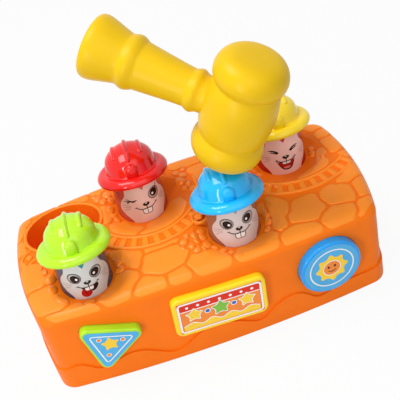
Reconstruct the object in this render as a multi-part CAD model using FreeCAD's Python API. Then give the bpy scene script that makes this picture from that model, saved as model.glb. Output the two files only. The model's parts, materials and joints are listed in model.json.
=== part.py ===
import FreeCAD, Part
import math
import os

# Whack-a-mole toy: an orange moulded base with four pop-up moles in hard hats and a yellow hammer.
# Millimetres, +Z up, +X along the base, the player sits on the -Y side.
# The origin is on the table, below the centre of the base.

# Base housing
BASE_LENGTH = 300.0
BASE_DEPTH = 150.0
END_BOW = 11.3
SIDE_BOW = 9.6
CORNER_RADIUS = 14.5
CROWN_HEIGHT = 86.5
CROWN_DROP_ENDS = 3.5
CROWN_DROP_SIDES = 3.5
EDGE_ROLL = 8.0
WALL = 2.5
FOOT_HEIGHT = 1.0
FRONT_MARGIN = 7.5

# Proud skirt round the foot of the wall, with a wavy upper edge
SKIRT_PROUD = 1.5
SKIRT_WAVE = ((-155, 23), (-135, 23.5), (-124, 26), (-110, 16.8), (-88, 22.5), (-71, 22.5),
              (-44, 9.8), (-24, 21.5), (12, 19), (29, 12), (43, 21.8), (67, 24), (80, 12.9),
              (96, 16), (127, 17.5), (155, 22))

# Storage well for the hammer head, at the back left
CUP_X = -103.0
CUP_Y = 32.5
CUP_HALF_LENGTH = 32.3
CUP_HALF_WIDTH = 26.5
CUP_DEPTH = 45.0
CUP_CORNER = 9.0
CUP_RIM_WIDTH = 3.0

# Raised pattern on the top: rails, sleepers and a wheel
RELIEF = 1.2
RAIL_WIDTH = 2.2
RAIL_GAUGE = 11.5
SLEEPER_WIDTH = 5.0
SLEEPER_PITCH = 9.5
SLEEPER_RELIEF = 0.7
LEFT_TRACK_X = -31.0
LEFT_TRACK_Y = 33.0
LEFT_TRACK_RADIUS = 53.0
LEFT_TRACK_ARC = (212.0, 372.0)
RIGHT_TRACK_X = 100.0
RIGHT_TRACK_Y = 50.0
RIGHT_TRACK_RADIUS = 65.0
RIGHT_TRACK_ARC = (212.0, 322.0)
WHEEL_X = 6.5
WHEEL_Y = -13.0
WHEEL_RADIUS = 7.5
WHEEL_HUB_RADIUS = 1.8

# Moles, on a zigzag of one pitch; each stands upright in a round hole at the back of its own dish
MOLE_NAMES = ("green", "red", "blue", "yellow")
MOLE_PITCH = 63.2
MOLE_ROW_SHIFT = -1.3
FRONT_ROW_Y = -30.0
BACK_ROW_Y = 34.0
PRESS_TRAVEL = 6.0
DISH_RADIUS = 35.0
DISH_DEPTH = 9.0
DISH_SHIFT_X = 2.0
DISH_SHIFT_Y = -6.0
HEAD_RADIUS = 21.1
HEAD_NECK_RADIUS = 19.4
HEAD_WALL = 2.0
HEAD_SHOULDER_HEIGHT = 86.0
HEAD_NECK_HEIGHT = 114.0
COLLAR_WALL = 2.2
COLLAR_FOOT = 62.0

# Hard hats, tilted back and measured from the plane of the brim
BRIM_HEIGHT = 117.4
HAT_TILT = 14.0
HAT_TURN = -4.0
BRIM_RADIUS = 30.0
BRIM_UNDER = 2.8
BRIM_FOOT = 4.0
BRIM_ROLL = ((23.6, 4.7), (26.0, 4.6), (28.4, 3.3), (29.8, 1.2), (30.0, -0.4), (29.3, -2.0), (27.6, -2.8))
CROWN_RADIUS = 22.4
CROWN_RISE = 25.8
CROWN_FLANK_SLOPE = 9.0
CROWN_DOME = 24.0
CROWN_SHOULDER = 13.0
HAT_WALL = 1.8
HAT_HOLLOW_FOOT = 22.6
HAT_PEG_RADIUS = 4.0
HAT_RIB_WIDTH = 3.4
HAT_RIB_RISE = 2.0
HAT_SIDE_RIB_RISE = 1.5
HAT_RIB_SPACING = 11.0
HAT_RIB_FOOT = 17.0
HAT_SIDE_RIB_FOOT = 19.5
LAMP_BOSS_RADIUS = 4.8
LAMP_BOSS_HEIGHT = 10.8
LAMP_BOSS_PROUD = 1.4
LAMP_BOSS_DEPTH = 9.0
LAMP_BOSS_EDGE = 1.6

# Plunger below each head: a flange under the collar, and a stem in the cover's guide tube
FLANGE_RADIUS = 24.5
FLANGE_THICKNESS = 2.4
SPIGOT_RISE = 3.5
SPIGOT_WALL = 1.6
HUB_RADIUS = 6.0
HUB_TOP = 84.0
HUB_BORE_RADIUS = 4.0
STEM_RADIUS = 8.0
STEM_FOOT = 32.0
GUIDE_WALL = 2.4
GUIDE_TOP = 46.0
FINGER_OFFSET = 17.0
FINGER_RADIUS = 2.0
FINGER_FOOT = 34.0
SPRING_PILOT = 4.0
RUNNING_CLEARANCE = 0.08
SEAT_CLEARANCE = 0.3

# Return spring and its seat
SPRING_WIRE = 1.2
SPRING_RADIUS = 6.2
SPRING_TURNS = 4
SPRING_SEAT_HEIGHT = 12.0

# Lamp and switch of each mole
LAMP_BOARD_RADIUS = 5.6
LAMP_BOARD = 1.2
LED_RADIUS = 2.5
LED_HEIGHT = 6.5
MOLE_SWITCH_BODY = 6.0
MOLE_SWITCH_HEIGHT = 3.5
SWITCH_BUTTON_RISE = 1.2
SWITCH_POST_OFFSET = 7.0
SWITCH_POST_RADIUS = 3.2
BOARD_THICKNESS = 1.6

# Front buttons and plate; each button slides through a hole of its own outline
BUTTON_PROUD = 7.0
BUTTON_TRAVEL = 2.2
BUTTON_EDGE = 1.8
BUTTON_WALL = 2.0
BUTTON_CLEARANCE = 0.3
BUTTON_STOP_GAP = 0.6
BUTTON_FLANGE = 1.2
BUTTON_FLANGE_THICKNESS = 1.5
BUTTON_FOOT_RADIUS = 3.0
BUTTON_LABEL = 0.3
BUTTON_LABEL_INSET = 2.4
ROUND_BUTTON_X = 92.5
ROUND_BUTTON_Z = 46.6
ROUND_BUTTON_RADIUS = 26.5
TRIANGLE_BUTTON_X = -94.2
TRIANGLE_BUTTON_Z = 46.6
TRIANGLE_SIDE = 57.8
TRIANGLE_CORNER = 6.0
TRIANGLE_TURN = -18.5
BUTTON_BOARD_DEPTH = 12.0
BUTTON_BOARD_HALF = 34.2
BUTTON_BOARD_HEIGHT = 11.0
BUTTON_BOSS_OFFSET = 31.3
BUTTON_BOSS_RADIUS = 2.6
TACT_HEIGHT = 4.0
TACT_FLOOR = 0.5
TACT_PLUNGER_RADIUS = 1.75
TACT_PLUNGER_PROUD = 2.6
PLATE_LENGTH = 78.0
PLATE_HEIGHT = 41.5
PLATE_X = -2.3
PLATE_Z = 48.0
PLATE_TURN = -3.0
PLATE_THICKNESS = 5.8
PLATE_CORNER = 7.0
PLATE_EDGE = 1.8
PLATE_BORDER = 3.8
PLATE_PIN_RADIUS = 2.0
PLATE_PIN_OFFSET = 26.0

# Bottom cover and what stands on it
COVER_THICKNESS = 2.5
COVER_CLEARANCE = 0.3
FOOT_RADIUS = 7.0
FOOT_DEPTH = 1.2
FOOT_INSET_X = 48.0
FOOT_INSET_Y = 19.0
BOSS_RADIUS = 4.0
BOSS_OFFSET = 4.2
SCREW_RADIUS = 1.3
SCREW_HEAD_RADIUS = 3.0
SCREW_HEAD = 1.4
SCREW_SLOT = 0.7
SCREW_SLOT_DEPTH = 0.6
SCREW_LENGTH = 12.0
MIDDLE_BOSS_Y = 61.0
BATTERY_RADIUS = 7.1
BATTERY_LENGTH = 50.0
BATTERY_COUNT = 3
BATTERY_GAP = 0.6
BATTERY_X = 36.0
BATTERY_Y = 27.0
BATTERY_BOX_WALL = 1.6
CONTACT_ROOM = 3.2
CONTACT_SHEET = 0.5
CONTACT_HALF = 5.0
DOOR_THICKNESS = 1.8
DOOR_CLEARANCE = 0.3
DOOR_SCREW_PROUD = 0.4
DOOR_SCREW_LENGTH = 6.0
DOOR_TAB = BOSS_RADIUS + 1.0
MAIN_BOARD_X = 77.0
MAIN_BOARD_Y = -33.0
MAIN_BOARD_LENGTH = 52.0
MAIN_BOARD_WIDTH = 34.0
MAIN_BOARD_HEIGHT = 9.0
SPEAKER_X = -62.0
SPEAKER_Y = -12.0
SPEAKER_RADIUS = 20.0
SPEAKER_DEPTH = 12.0
SPEAKER_MAGNET_RADIUS = 10.0
SPEAKER_FLANGE = 1.6
SMALL_POST_RADIUS = 2.6
GRILLE_HOLE_RADIUS = 1.2
GRILLE_PITCH = 5.0
POWER_SWITCH_X = -17.0
POWER_SWITCH_Y = -42.0
POWER_SWITCH_TRAVEL = 4.0
POWER_KNOB = 3.0

# Hammer, one hollow blow moulding; its head axis is upright and its handle lies along -X before it is posed
HAMMER_LENGTH = 97.5
HAMMER_LIP_RADIUS = 28.6
HAMMER_FACE_ROLL = 9.0
HAMMER_SIDE = ((28.55, 36.0), (28.2, 30.0), (27.6, 26.0), (25.8, 22.8), (27.0, 19.4), (28.2, 10.5))
HAMMER_BARREL_RADIUS = 28.8
HAMMER_WALL = 1.6
HANDLE_ROOT = 12.0
HANDLE_REACH = 125.0
HANDLE_NECK_RADIUS = 14.8
HANDLE_FIRST_BEAD = ((14.8, 30.0), (17.1, 35.0), (15.3, 40.0))
HANDLE_SECOND_BEAD = ((19.0, 81.5), (21.9, 88.0), (20.3, 94.5))
HANDLE_FLARE = ((22.9, 105.0), (25.4, 114.5), (25.8, 118.0), (24.2, 122.4), (20.8, 124.6))
HANDLE_FACE_RADIUS = 17.0
HAMMER_AXIS = (0.39, -0.14, 0.91)
HANDLE_DIRECTION = (-0.71, 0.58, 0.42)
HAMMER_SHIFT_X = -8.0
HAMMER_SHIFT_Y = 13.0
HAMMER_CLEARANCE = 0.3

# Values that follow from the sizes above
OVERLAP = 0.2
BLANK_LOW = CROWN_HEIGHT - 12
BLANK_HIGH = CROWN_HEIGHT + 5
HALF_LENGTH = BASE_LENGTH / 2
HALF_DEPTH = BASE_DEPTH / 2
SIDE_ARC = (HALF_LENGTH ** 2 + SIDE_BOW ** 2) / (2 * SIDE_BOW)
END_ARC = (HALF_DEPTH ** 2 + END_BOW ** 2) / (2 * END_BOW)
COVER_TOP = FOOT_HEIGHT + COVER_THICKNESS
DISH_SPHERE = (DISH_RADIUS ** 2 + DISH_DEPTH ** 2) / (2 * DISH_DEPTH)
DISH_RIM_HEIGHT = CROWN_HEIGHT - 1.5
DISH_CENTRE_HEIGHT = DISH_RIM_HEIGHT - DISH_DEPTH + DISH_SPHERE
HOLE_RADIUS = HEAD_RADIUS + SEAT_CLEARANCE
GUIDE_RADIUS = STEM_RADIUS + RUNNING_CLEARANCE
FLANGE_TOP = COLLAR_FOOT - SEAT_CLEARANCE
SPRING_PILOT_RADIUS = SPRING_RADIUS - SPRING_WIRE / 2 - SEAT_CLEARANCE
SWITCH_BUTTON_TOP = FINGER_FOOT - PRESS_TRAVEL - SEAT_CLEARANCE
SWITCH_BODY_TOP = SWITCH_BUTTON_TOP - SWITCH_BUTTON_RISE
SWITCH_BOARD_TOP = SWITCH_BODY_TOP - MOLE_SWITCH_HEIGHT


def vec(x, y, z):
    """A point or direction."""
    return FreeCAD.Vector(x, y, z)


def fuse_all(shapes):
    """One solid from several that overlap or share faces."""
    result = shapes[0].multiFuse(shapes[1:]) if len(shapes) > 1 else shapes[0]
    return result.removeSplitter()


def cylinder(radius, low, high, x=0.0, y=0.0):
    """An upright cylinder between two heights."""
    return Part.makeCylinder(radius, high - low, vec(x, y, low))


def block(x0, x1, y0, y1, z0, z1):
    """A box between two corners."""
    return Part.makeBox(x1 - x0, y1 - y0, z1 - z0, vec(x0, y0, z0))


def outline(start, steps):
    """A closed wire in the XZ plane; a step is an end, an arc's middle and end, or a list for a curve."""
    edges = []
    here = vec(start[0], 0, start[1])
    for step in steps:
        if isinstance(step, list):
            points = [here] + [vec(x, 0, z) for x, z in step]
            curve = Part.BSplineCurve()
            curve.interpolate(points)
            edges.append(curve.toShape())
            end = points[-1]
        elif isinstance(step[0], tuple):
            middle = vec(step[0][0], 0, step[0][1])
            end = vec(step[1][0], 0, step[1][1])
            edges.append(Part.Arc(here, middle, end).toShape())
        else:
            end = vec(step[0], 0, step[1])
            edges.append(Part.makeLine(here, end))
        here = end
    first = vec(start[0], 0, start[1])
    if here.distanceToPoint(first) > 1e-6:
        edges.append(Part.makeLine(here, first))
    return Part.Wire(edges)


def turned(start, steps):
    """A solid of revolution about Z from an outline given as (radius, height)."""
    face = Part.Face(outline(start, steps))
    return face.revolve(vec(0, 0, 0), vec(0, 0, 1), 360)


def corner_centre():
    """Centre of the rounded corner in the +X -Y quadrant, tangent inside both bowed sides."""
    side = vec(0, SIDE_ARC - HALF_DEPTH, 0)
    end = vec(HALF_LENGTH - END_ARC, 0, 0)
    side_reach = SIDE_ARC - CORNER_RADIUS
    end_reach = END_ARC - CORNER_RADIUS
    gap = end - side
    span = gap.Length
    along = (side_reach ** 2 - end_reach ** 2 + span ** 2) / (2 * span)
    across = math.sqrt(side_reach ** 2 - along ** 2)
    unit = gap / span
    return side + unit * along + vec(-unit.y, unit.x, 0) * across


def pillow_wire(inset, z):
    """Plan outline of the base, moved inwards: four bowed sides with rounded corners."""
    corner = corner_centre()
    radius = CORNER_RADIUS - inset
    side_centre = vec(0, SIDE_ARC - HALF_DEPTH, 0)
    end_centre = vec(HALF_LENGTH - END_ARC, 0, 0)
    to_side = (corner - side_centre).normalize()
    to_end = (corner - end_centre).normalize()
    front = corner + to_side * radius
    middle = corner + (to_side + to_end).normalize() * radius
    right = corner + to_end * radius
    front_y = inset - HALF_DEPTH
    right_x = HALF_LENGTH - inset

    def at(point, sx, sy):
        return vec(point.x * sx, point.y * sy, z)

    edges = [
        Part.Arc(at(front, -1, 1), vec(0, front_y, z), at(front, 1, 1)),
        Part.Arc(at(front, 1, 1), at(middle, 1, 1), at(right, 1, 1)),
        Part.Arc(at(right, 1, 1), vec(right_x, 0, z), at(right, 1, -1)),
        Part.Arc(at(right, 1, -1), at(middle, 1, -1), at(front, 1, -1)),
        Part.Arc(at(front, 1, -1), vec(0, -front_y, z), at(front, -1, -1)),
        Part.Arc(at(front, -1, -1), at(middle, -1, -1), at(right, -1, -1)),
        Part.Arc(at(right, -1, -1), vec(-right_x, 0, z), at(right, -1, 1)),
        Part.Arc(at(right, -1, 1), at(middle, -1, 1), at(front, -1, 1)),
    ]
    return Part.Wire([edge.toShape() for edge in edges])


def prism(inset, low, high):
    """Upright block on the plan outline."""
    return Part.Face(pillow_wire(inset, low)).extrude(vec(0, 0, high - low))


def crown_solid(drop):
    """Everything under the crowned top surface, lowered by drop; curved both along and across."""
    across = HALF_DEPTH ** 2 / (2 * CROWN_DROP_SIDES)
    along = HALF_LENGTH ** 2 / (2 * CROWN_DROP_ENDS)
    reach = HALF_DEPTH + 10
    radius = across - drop
    top = CROWN_HEIGHT - drop
    edge = top - radius + math.sqrt(radius ** 2 - reach ** 2)
    low = -15.0
    wire = Part.Wire([
        Part.Arc(vec(0, -reach, edge), vec(0, 0, top), vec(0, reach, edge)).toShape(),
        Part.makeLine(vec(0, reach, edge), vec(0, reach, low)),
        Part.makeLine(vec(0, reach, low), vec(0, -reach, low)),
        Part.makeLine(vec(0, -reach, low), vec(0, -reach, edge)),
    ])
    pivot = vec(0, 0, CROWN_HEIGHT - along)
    swing = math.degrees(math.asin((HALF_LENGTH + 10) / (along - 110)))
    face = Part.Face(wire)
    face.rotate(pivot, vec(0, 1, 0), -swing)
    return face.revolve(pivot, vec(0, 1, 0), 2 * swing)


def top_height(x, y):
    """Height of the crowned top surface."""
    ends = CROWN_DROP_ENDS * (x / HALF_LENGTH) ** 2
    sides = CROWN_DROP_SIDES * (y / HALF_DEPTH) ** 2
    return CROWN_HEIGHT - ends - sides


def rolled_block(inset, low, drop, roll):
    """Block on the plan outline under the crowned top, with its upper edge rolled."""
    body = prism(inset, low, CROWN_HEIGHT + 20).common(crown_solid(drop))
    rim = [edge for edge in body.Edges if edge.BoundBox.ZMin > CROWN_HEIGHT - drop - 12]
    return body.makeFillet(roll, rim)


def mole_places():
    """Name and axis of each mole: alternately in the front and the back row."""
    places = []
    for index, name in enumerate(MOLE_NAMES):
        x = (index - (len(MOLE_NAMES) - 1) / 2) * MOLE_PITCH + MOLE_ROW_SHIFT
        y = FRONT_ROW_Y if index % 2 == 0 else BACK_ROW_Y
        places.append((name, x, y))
    return places


def wall_frame(x, z, turn=0.0):
    """Frame on the bowed front wall: local X along the wall, Y up, Z straight out of it."""
    radius = SIDE_ARC - SKIRT_PROUD
    angle = math.asin(x / radius)
    y = SIDE_ARC - HALF_DEPTH - radius * math.cos(angle)
    c = math.cos(angle)
    s = math.sin(angle)
    matrix = FreeCAD.Matrix(c, 0, s, x, s, 0, -c, y, 0, 1, 0, z, 0, 0, 0, 1)
    return FreeCAD.Placement(matrix).multiply(FreeCAD.Placement(vec(0, 0, 0), vec(0, 0, 1), turn))


def on_wall(shape, x, z, turn=0.0):
    """Move a shape made in the wall's own frame to its place on the wall."""
    return shape.transformGeometry(wall_frame(x, z, turn).toMatrix())


def sector(radius, low, high, x, y, start, end):
    """Part of an upright cylinder between two angles."""
    piece = Part.makeCylinder(radius, high - low, vec(0, 0, 0), vec(0, 0, 1), end - start)
    piece.rotate(vec(0, 0, 0), vec(0, 0, 1), start)
    piece.translate(vec(x, y, low))
    return piece


def ring_sector(inner, outer, low, high, x, y, start, end):
    """Part of an upright ring between two angles."""
    hole = sector(inner, low - 1, high + 1, x, y, start - 1, end + 1)
    return sector(outer, low, high, x, y, start, end).cut(hole)


def track(x, y, radius, arc):
    """Upright blanks of one curved railway track: its two rails, and its sleepers."""
    low = BLANK_LOW
    high = BLANK_HIGH
    inner = radius - RAIL_GAUGE / 2
    outer = radius + RAIL_GAUGE / 2
    rails = [
        ring_sector(inner - RAIL_WIDTH / 2, inner + RAIL_WIDTH / 2, low, high, x, y, arc[0], arc[1]),
        ring_sector(outer - RAIL_WIDTH / 2, outer + RAIL_WIDTH / 2, low, high, x, y, arc[0], arc[1]),
    ]
    step = math.degrees(SLEEPER_PITCH / radius)
    half = math.degrees(SLEEPER_WIDTH / radius) / 2
    near = inner + RAIL_WIDTH / 2 - OVERLAP
    far = outer - RAIL_WIDTH / 2 + OVERLAP
    sleepers = []
    for index in range(int((arc[1] - arc[0]) / step)):
        middle = arc[0] + (index + 0.5) * step
        sleepers.append(ring_sector(near, far, low, high, x, y, middle - half, middle + half))
    return rails, sleepers


def ellipse_prism(half_length, half_width, low, high):
    """Upright elliptical block on the centre of the storage well."""
    curve = Part.Ellipse(vec(CUP_X, CUP_Y, low), half_length, half_width)
    return Part.Face(Part.Wire(curve.toShape())).extrude(vec(0, 0, high - low))


def cup_solid(grow):
    """The well's hollow, or with grow its outer wall: an oval with a rounded floor."""
    floor = DISH_RIM_HEIGHT - CUP_DEPTH - grow
    body = ellipse_prism(CUP_HALF_LENGTH + grow, CUP_HALF_WIDTH + grow, floor, CROWN_HEIGHT + 10)
    foot = [edge for edge in body.Edges if edge.BoundBox.ZMax < floor + 0.5 and edge.Length > 20]
    return body.makeFillet(CUP_CORNER + grow, foot)


def dish_solid(x, y, grow):
    """The shallow round dish about one mole, kept inside the front margin."""
    ball = Part.makeSphere(DISH_SPHERE + grow, vec(x + DISH_SHIFT_X, y + DISH_SHIFT_Y, DISH_CENTRE_HEIGHT))
    keep = prism(FRONT_MARGIN + SKIRT_PROUD - grow, CROWN_HEIGHT - 20, CROWN_HEIGHT + 12)
    return ball.common(keep)


def screw_places():
    """Where the screws enter the bottom cover: the four corners and the middle of each long side."""
    corner = corner_centre()
    reach = BOSS_OFFSET / math.sqrt(2)
    x = corner.x + reach
    y = -corner.y + reach
    return [(x, y), (-x, y), (-x, -y), (x, -y), (0, MIDDLE_BOSS_Y), (0, -MIDDLE_BOSS_Y)]


def triangle_prism(side, corner, low, high):
    """Equilateral triangle with rounded corners, pointing down, in the wall's frame."""
    inner = side - 2 * corner * math.sqrt(3)
    reach = inner / math.sqrt(3)
    discs = []
    for angle in (30, 150, 270):
        x = reach * math.cos(math.radians(angle))
        y = reach * math.sin(math.radians(angle))
        discs.append(vec(x, y, low))
    edges = []
    for index in range(3):
        here = discs[index]
        there = discs[(index + 1) % 3]
        out_angle = math.radians(90 + 120 * index)
        out = vec(math.cos(out_angle), math.sin(out_angle), 0) * corner
        tip_angle = math.radians(30 + 120 * (index + 1))
        tip = there + vec(math.cos(tip_angle), math.sin(tip_angle), 0) * corner
        next_out_angle = out_angle + math.radians(120)
        next_out = vec(math.cos(next_out_angle), math.sin(next_out_angle), 0) * corner
        edges.append(Part.makeLine(here + out, there + out))
        edges.append(Part.Arc(there + out, tip, there + next_out).toShape())
    return Part.Face(Part.Wire(edges)).extrude(vec(0, 0, high - low))


def rounded_rectangle(length, height, corner, low, high):
    """Rectangular slab with rounded corners, in the wall's frame."""
    slab = Part.makeBox(length, height, high - low, vec(-length / 2, -height / 2, low))
    upright = [edge for edge in slab.Edges if abs(edge.tangentAt(edge.FirstParameter).z) > 0.9]
    return slab.makeFillet(corner, upright)


def button_prism(kind, grow, low, high):
    """A prism on the outline of a button, grown all round, in the wall's frame."""
    if kind == "round":
        return Part.makeCylinder(ROUND_BUTTON_RADIUS + grow, high - low, vec(0, 0, low))
    side = TRIANGLE_SIDE + 2 * math.sqrt(3) * grow
    return triangle_prism(side, TRIANGLE_CORNER + grow, low, high)


def button_place(kind):
    """Place and turn of a button on the wall."""
    if kind == "round":
        return ROUND_BUTTON_X, ROUND_BUTTON_Z, 0.0
    return TRIANGLE_BUTTON_X, TRIANGLE_BUTTON_Z, TRIANGLE_TURN


def skirt():
    """Proud band round the foot of the wall; its upper edge is a wavy line along the length."""
    band = prism(0, FOOT_HEIGHT, 30)
    curve = Part.BSplineCurve()
    curve.interpolate([vec(x, -HALF_DEPTH - 5, z) for x, z in SKIRT_WAVE])
    first = SKIRT_WAVE[0]
    last = SKIRT_WAVE[-1]
    y = -HALF_DEPTH - 5
    wire = Part.Wire([
        curve.toShape(),
        Part.makeLine(vec(last[0], y, last[1]), vec(last[0], y, 0)),
        Part.makeLine(vec(last[0], y, 0), vec(first[0], y, 0)),
        Part.makeLine(vec(first[0], y, 0), vec(first[0], y, first[1])),
    ])
    wave = Part.Face(wire).extrude(vec(0, BASE_DEPTH + 10, 0))
    return band.common(wave)


def top_relief():
    """Rails, sleepers, the wheel and the rim of the storage well, standing on the crowned top."""
    low = BLANK_LOW
    high = BLANK_HIGH
    left_rails, left_sleepers = track(LEFT_TRACK_X, LEFT_TRACK_Y, LEFT_TRACK_RADIUS, LEFT_TRACK_ARC)
    right_rails, right_sleepers = track(RIGHT_TRACK_X, RIGHT_TRACK_Y, RIGHT_TRACK_RADIUS, RIGHT_TRACK_ARC)
    wheel = cylinder(WHEEL_RADIUS, low, high, WHEEL_X, WHEEL_Y)
    rim = ellipse_prism(CUP_HALF_LENGTH + CUP_RIM_WIDTH, CUP_HALF_WIDTH + CUP_RIM_WIDTH, low, high)
    tall = left_rails + right_rails + [wheel, rim]
    keep = prism(SKIRT_PROUD + EDGE_ROLL, low, high)
    raised = crown_solid(-RELIEF).common(keep)
    shallow = crown_solid(-SLEEPER_RELIEF).common(keep)
    pieces = [piece.common(raised) for piece in tall]
    pieces += [piece.common(shallow) for piece in left_sleepers + right_sleepers]
    hub = cylinder(WHEEL_HUB_RADIUS, low, top_height(WHEEL_X, WHEEL_Y) + 2 * RELIEF, WHEEL_X, WHEEL_Y)
    return pieces + [hub]


def top_housing():
    """The orange moulding: walls, crowned top, four dishes with collars, the well and its bosses."""
    outer = rolled_block(SKIRT_PROUD, FOOT_HEIGHT, 0, EDGE_ROLL)
    solid = outer.fuse([skirt()] + top_relief())
    cavity = rolled_block(SKIRT_PROUD + WALL, FOOT_HEIGHT - 5, WALL, EDGE_ROLL - WALL)
    inside = [cup_solid(WALL)]
    for name, x, y in mole_places():
        inside.append(dish_solid(x, y, WALL))
        inside.append(cylinder(HOLE_RADIUS + COLLAR_WALL, COLLAR_FOOT, CROWN_HEIGHT - 4, x, y))
    for x, y in screw_places():
        inside.append(cylinder(BOSS_RADIUS, COVER_TOP + 0.1, CROWN_HEIGHT - 4, x, y))
    for kind in ("round", "triangle"):
        x, z, turn = button_place(kind)
        for side in (-1, 1):
            boss = Part.makeCylinder(BUTTON_BOSS_RADIUS, BUTTON_BOARD_DEPTH - WALL / 2,
                                     vec(side * BUTTON_BOSS_OFFSET, 0, -BUTTON_BOARD_DEPTH))
            inside.append(on_wall(boss, x, z))
    shell = solid.cut(cavity.cut(inside))
    cuts = [cup_solid(0)]
    for name, x, y in mole_places():
        cuts.append(dish_solid(x, y, 0))
        cuts.append(cylinder(HOLE_RADIUS, COLLAR_FOOT - 1, CROWN_HEIGHT + 5, x, y))
    for x, y in screw_places():
        cuts.append(cylinder(SCREW_RADIUS, FOOT_HEIGHT, COVER_TOP + SCREW_LENGTH, x, y))
    for kind in ("round", "triangle"):
        x, z, turn = button_place(kind)
        cuts.append(on_wall(button_prism(kind, BUTTON_CLEARANCE, -WALL - 2, 3), x, z, turn))
    for side in (-1, 1):
        pin = Part.makeCylinder(PLATE_PIN_RADIUS + 0.1, 10, vec(side * PLATE_PIN_OFFSET, 0, -6))
        cuts.append(on_wall(pin, PLATE_X, PLATE_Z, PLATE_TURN))
    return shell.cut(cuts).removeSplitter()


def head_section(shrink):
    """Section of the upright head, or with shrink of the hollow inside it; open at the foot."""
    side = HEAD_RADIUS - shrink
    neck = HEAD_NECK_RADIUS - shrink
    foot = FLANGE_TOP
    rise = HEAD_NECK_HEIGHT - HEAD_SHOULDER_HEIGHT
    swell = (side - 0.3 * (side - neck), HEAD_SHOULDER_HEIGHT + 0.55 * rise)
    dome = (neck * math.cos(math.pi / 4), BRIM_HEIGHT + neck * math.sin(math.pi / 4))
    return (0, foot), [(side, foot), (side, HEAD_SHOULDER_HEIGHT), (swell, (neck, HEAD_NECK_HEIGHT)),
                       (neck, BRIM_HEIGHT), (dome, (0, BRIM_HEIGHT + neck))]


def mole_head(x, y):
    """Hollow translucent head, a tube with a domed top that stands on the plunger's flange."""
    outer = turned(*head_section(0))
    inner = turned(*head_section(HEAD_WALL))
    head = outer.cut(inner)
    head.translate(vec(x, y, 0))
    return head


def tilted(shape, x, y):
    """Place a shape made about the brim's centre on a mole, turned a little and tilted back."""
    turn = FreeCAD.Rotation(vec(0, 0, 1), HAT_TURN)
    tilt = FreeCAD.Rotation(vec(1, 0, 0), -HAT_TILT)
    shape.Placement = FreeCAD.Placement(vec(x, y, BRIM_HEIGHT), tilt.multiply(turn))
    return shape


def crown_steps(grow):
    """Section of the crown from the top down: a dome, a tighter shoulder and a straight tangent flank."""
    foot = CROWN_RADIUS + grow
    top = CROWN_RISE + grow
    dome = CROWN_DOME + grow
    shoulder = CROWN_SHOULDER + grow
    slope = math.radians(CROWN_FLANK_SLOPE)
    dome_height = top - dome
    base_x = foot - shoulder * math.cos(slope)
    base_z = -shoulder * math.sin(slope) - dome_height
    half = -base_x * math.sin(slope) + base_z * math.cos(slope)
    rest = base_x ** 2 + base_z ** 2 - (dome - shoulder) ** 2
    run = -half + math.sqrt(half ** 2 - rest)
    centre = (base_x - run * math.sin(slope), base_z + run * math.cos(slope) + dome_height)
    lift = math.atan2(centre[1] - dome_height, centre[0])
    join = (dome * math.cos(lift), dome_height + dome * math.sin(lift))
    flank = (foot - run * math.sin(slope), run * math.cos(slope))
    middle = (lift + slope) / 2
    bend = (centre[0] + shoulder * math.cos(middle), centre[1] + shoulder * math.sin(middle))
    half_lift = (lift + math.pi / 2) / 2
    brow = (dome * math.cos(half_lift), dome_height + dome * math.sin(half_lift))
    return top, brow, join, bend, flank, foot


def crown_solid_of_hat(grow, foot_height, foot_radius):
    """Solid inside the crown's outer surface, grown outwards, down to a foot of its own radius."""
    top, brow, join, bend, flank, foot = crown_steps(grow)
    return turned((0, top), [(brow, join), (bend, flank), (foot_radius, foot_height), (0, foot_height)])


def hat_rib(place, rise, low):
    """One rib over the crown from front to back, ending at the same height at both ends."""
    raised = crown_solid_of_hat(rise, 0, CROWN_RADIUS + rise)
    half = HAT_RIB_WIDTH / 2
    slab = block(place - half, place + half, -BRIM_RADIUS, BRIM_RADIUS, low, CROWN_RISE + 2 * rise)
    return raised.common(slab)


def lamp_boss():
    """Round boss on the front of the crown, standing on the brim."""
    front = -(CROWN_RADIUS + LAMP_BOSS_PROUD)
    back = front + LAMP_BOSS_DEPTH
    boss = Part.makeCylinder(LAMP_BOSS_RADIUS, LAMP_BOSS_DEPTH, vec(0, front, LAMP_BOSS_HEIGHT), vec(0, 1, 0))
    stand = block(-LAMP_BOSS_RADIUS, LAMP_BOSS_RADIUS, front, back, BRIM_FOOT - 1, LAMP_BOSS_HEIGHT)
    lamp = boss.fuse(stand).removeSplitter()
    nose = []
    for edge in lamp.Edges:
        box = edge.BoundBox
        if box.YMax < front + 0.1 and box.ZMax > BRIM_FOOT:
            nose.append(edge)
    return lamp.makeFillet(LAMP_BOSS_EDGE, nose)


def hard_hat(x, y):
    """Hard hat: thick rolled brim, domed crown, three ribs from front to back, a lamp boss and a peg."""
    top, brow, join, bend, flank, foot = crown_steps(0)
    slope = math.tan(math.radians(CROWN_FLANK_SLOPE))
    crease = (foot - BRIM_FOOT * slope, BRIM_FOOT)
    body = turned((0, top), [(brow, join), (bend, flank), crease, list(BRIM_ROLL), (0, -BRIM_UNDER)])
    hollow = crown_solid_of_hat(-HAT_WALL, -BRIM_UNDER - 1, HAT_HOLLOW_FOOT)
    ribs = [hat_rib(0, HAT_RIB_RISE, HAT_RIB_FOOT)]
    for side in (-1, 1):
        ribs.append(hat_rib(side * HAT_RIB_SPACING, HAT_SIDE_RIB_RISE, HAT_SIDE_RIB_FOOT))
    peg = cylinder(HAT_PEG_RADIUS, 0, CROWN_RISE - HAT_WALL / 2)
    peg = peg.cut(Part.makeSphere(HEAD_NECK_RADIUS + 0.02))
    hat = fuse_all([body] + ribs + [lamp_boss()]).cut(hollow)
    return tilted(fuse_all([hat, peg]), x, y)


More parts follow.
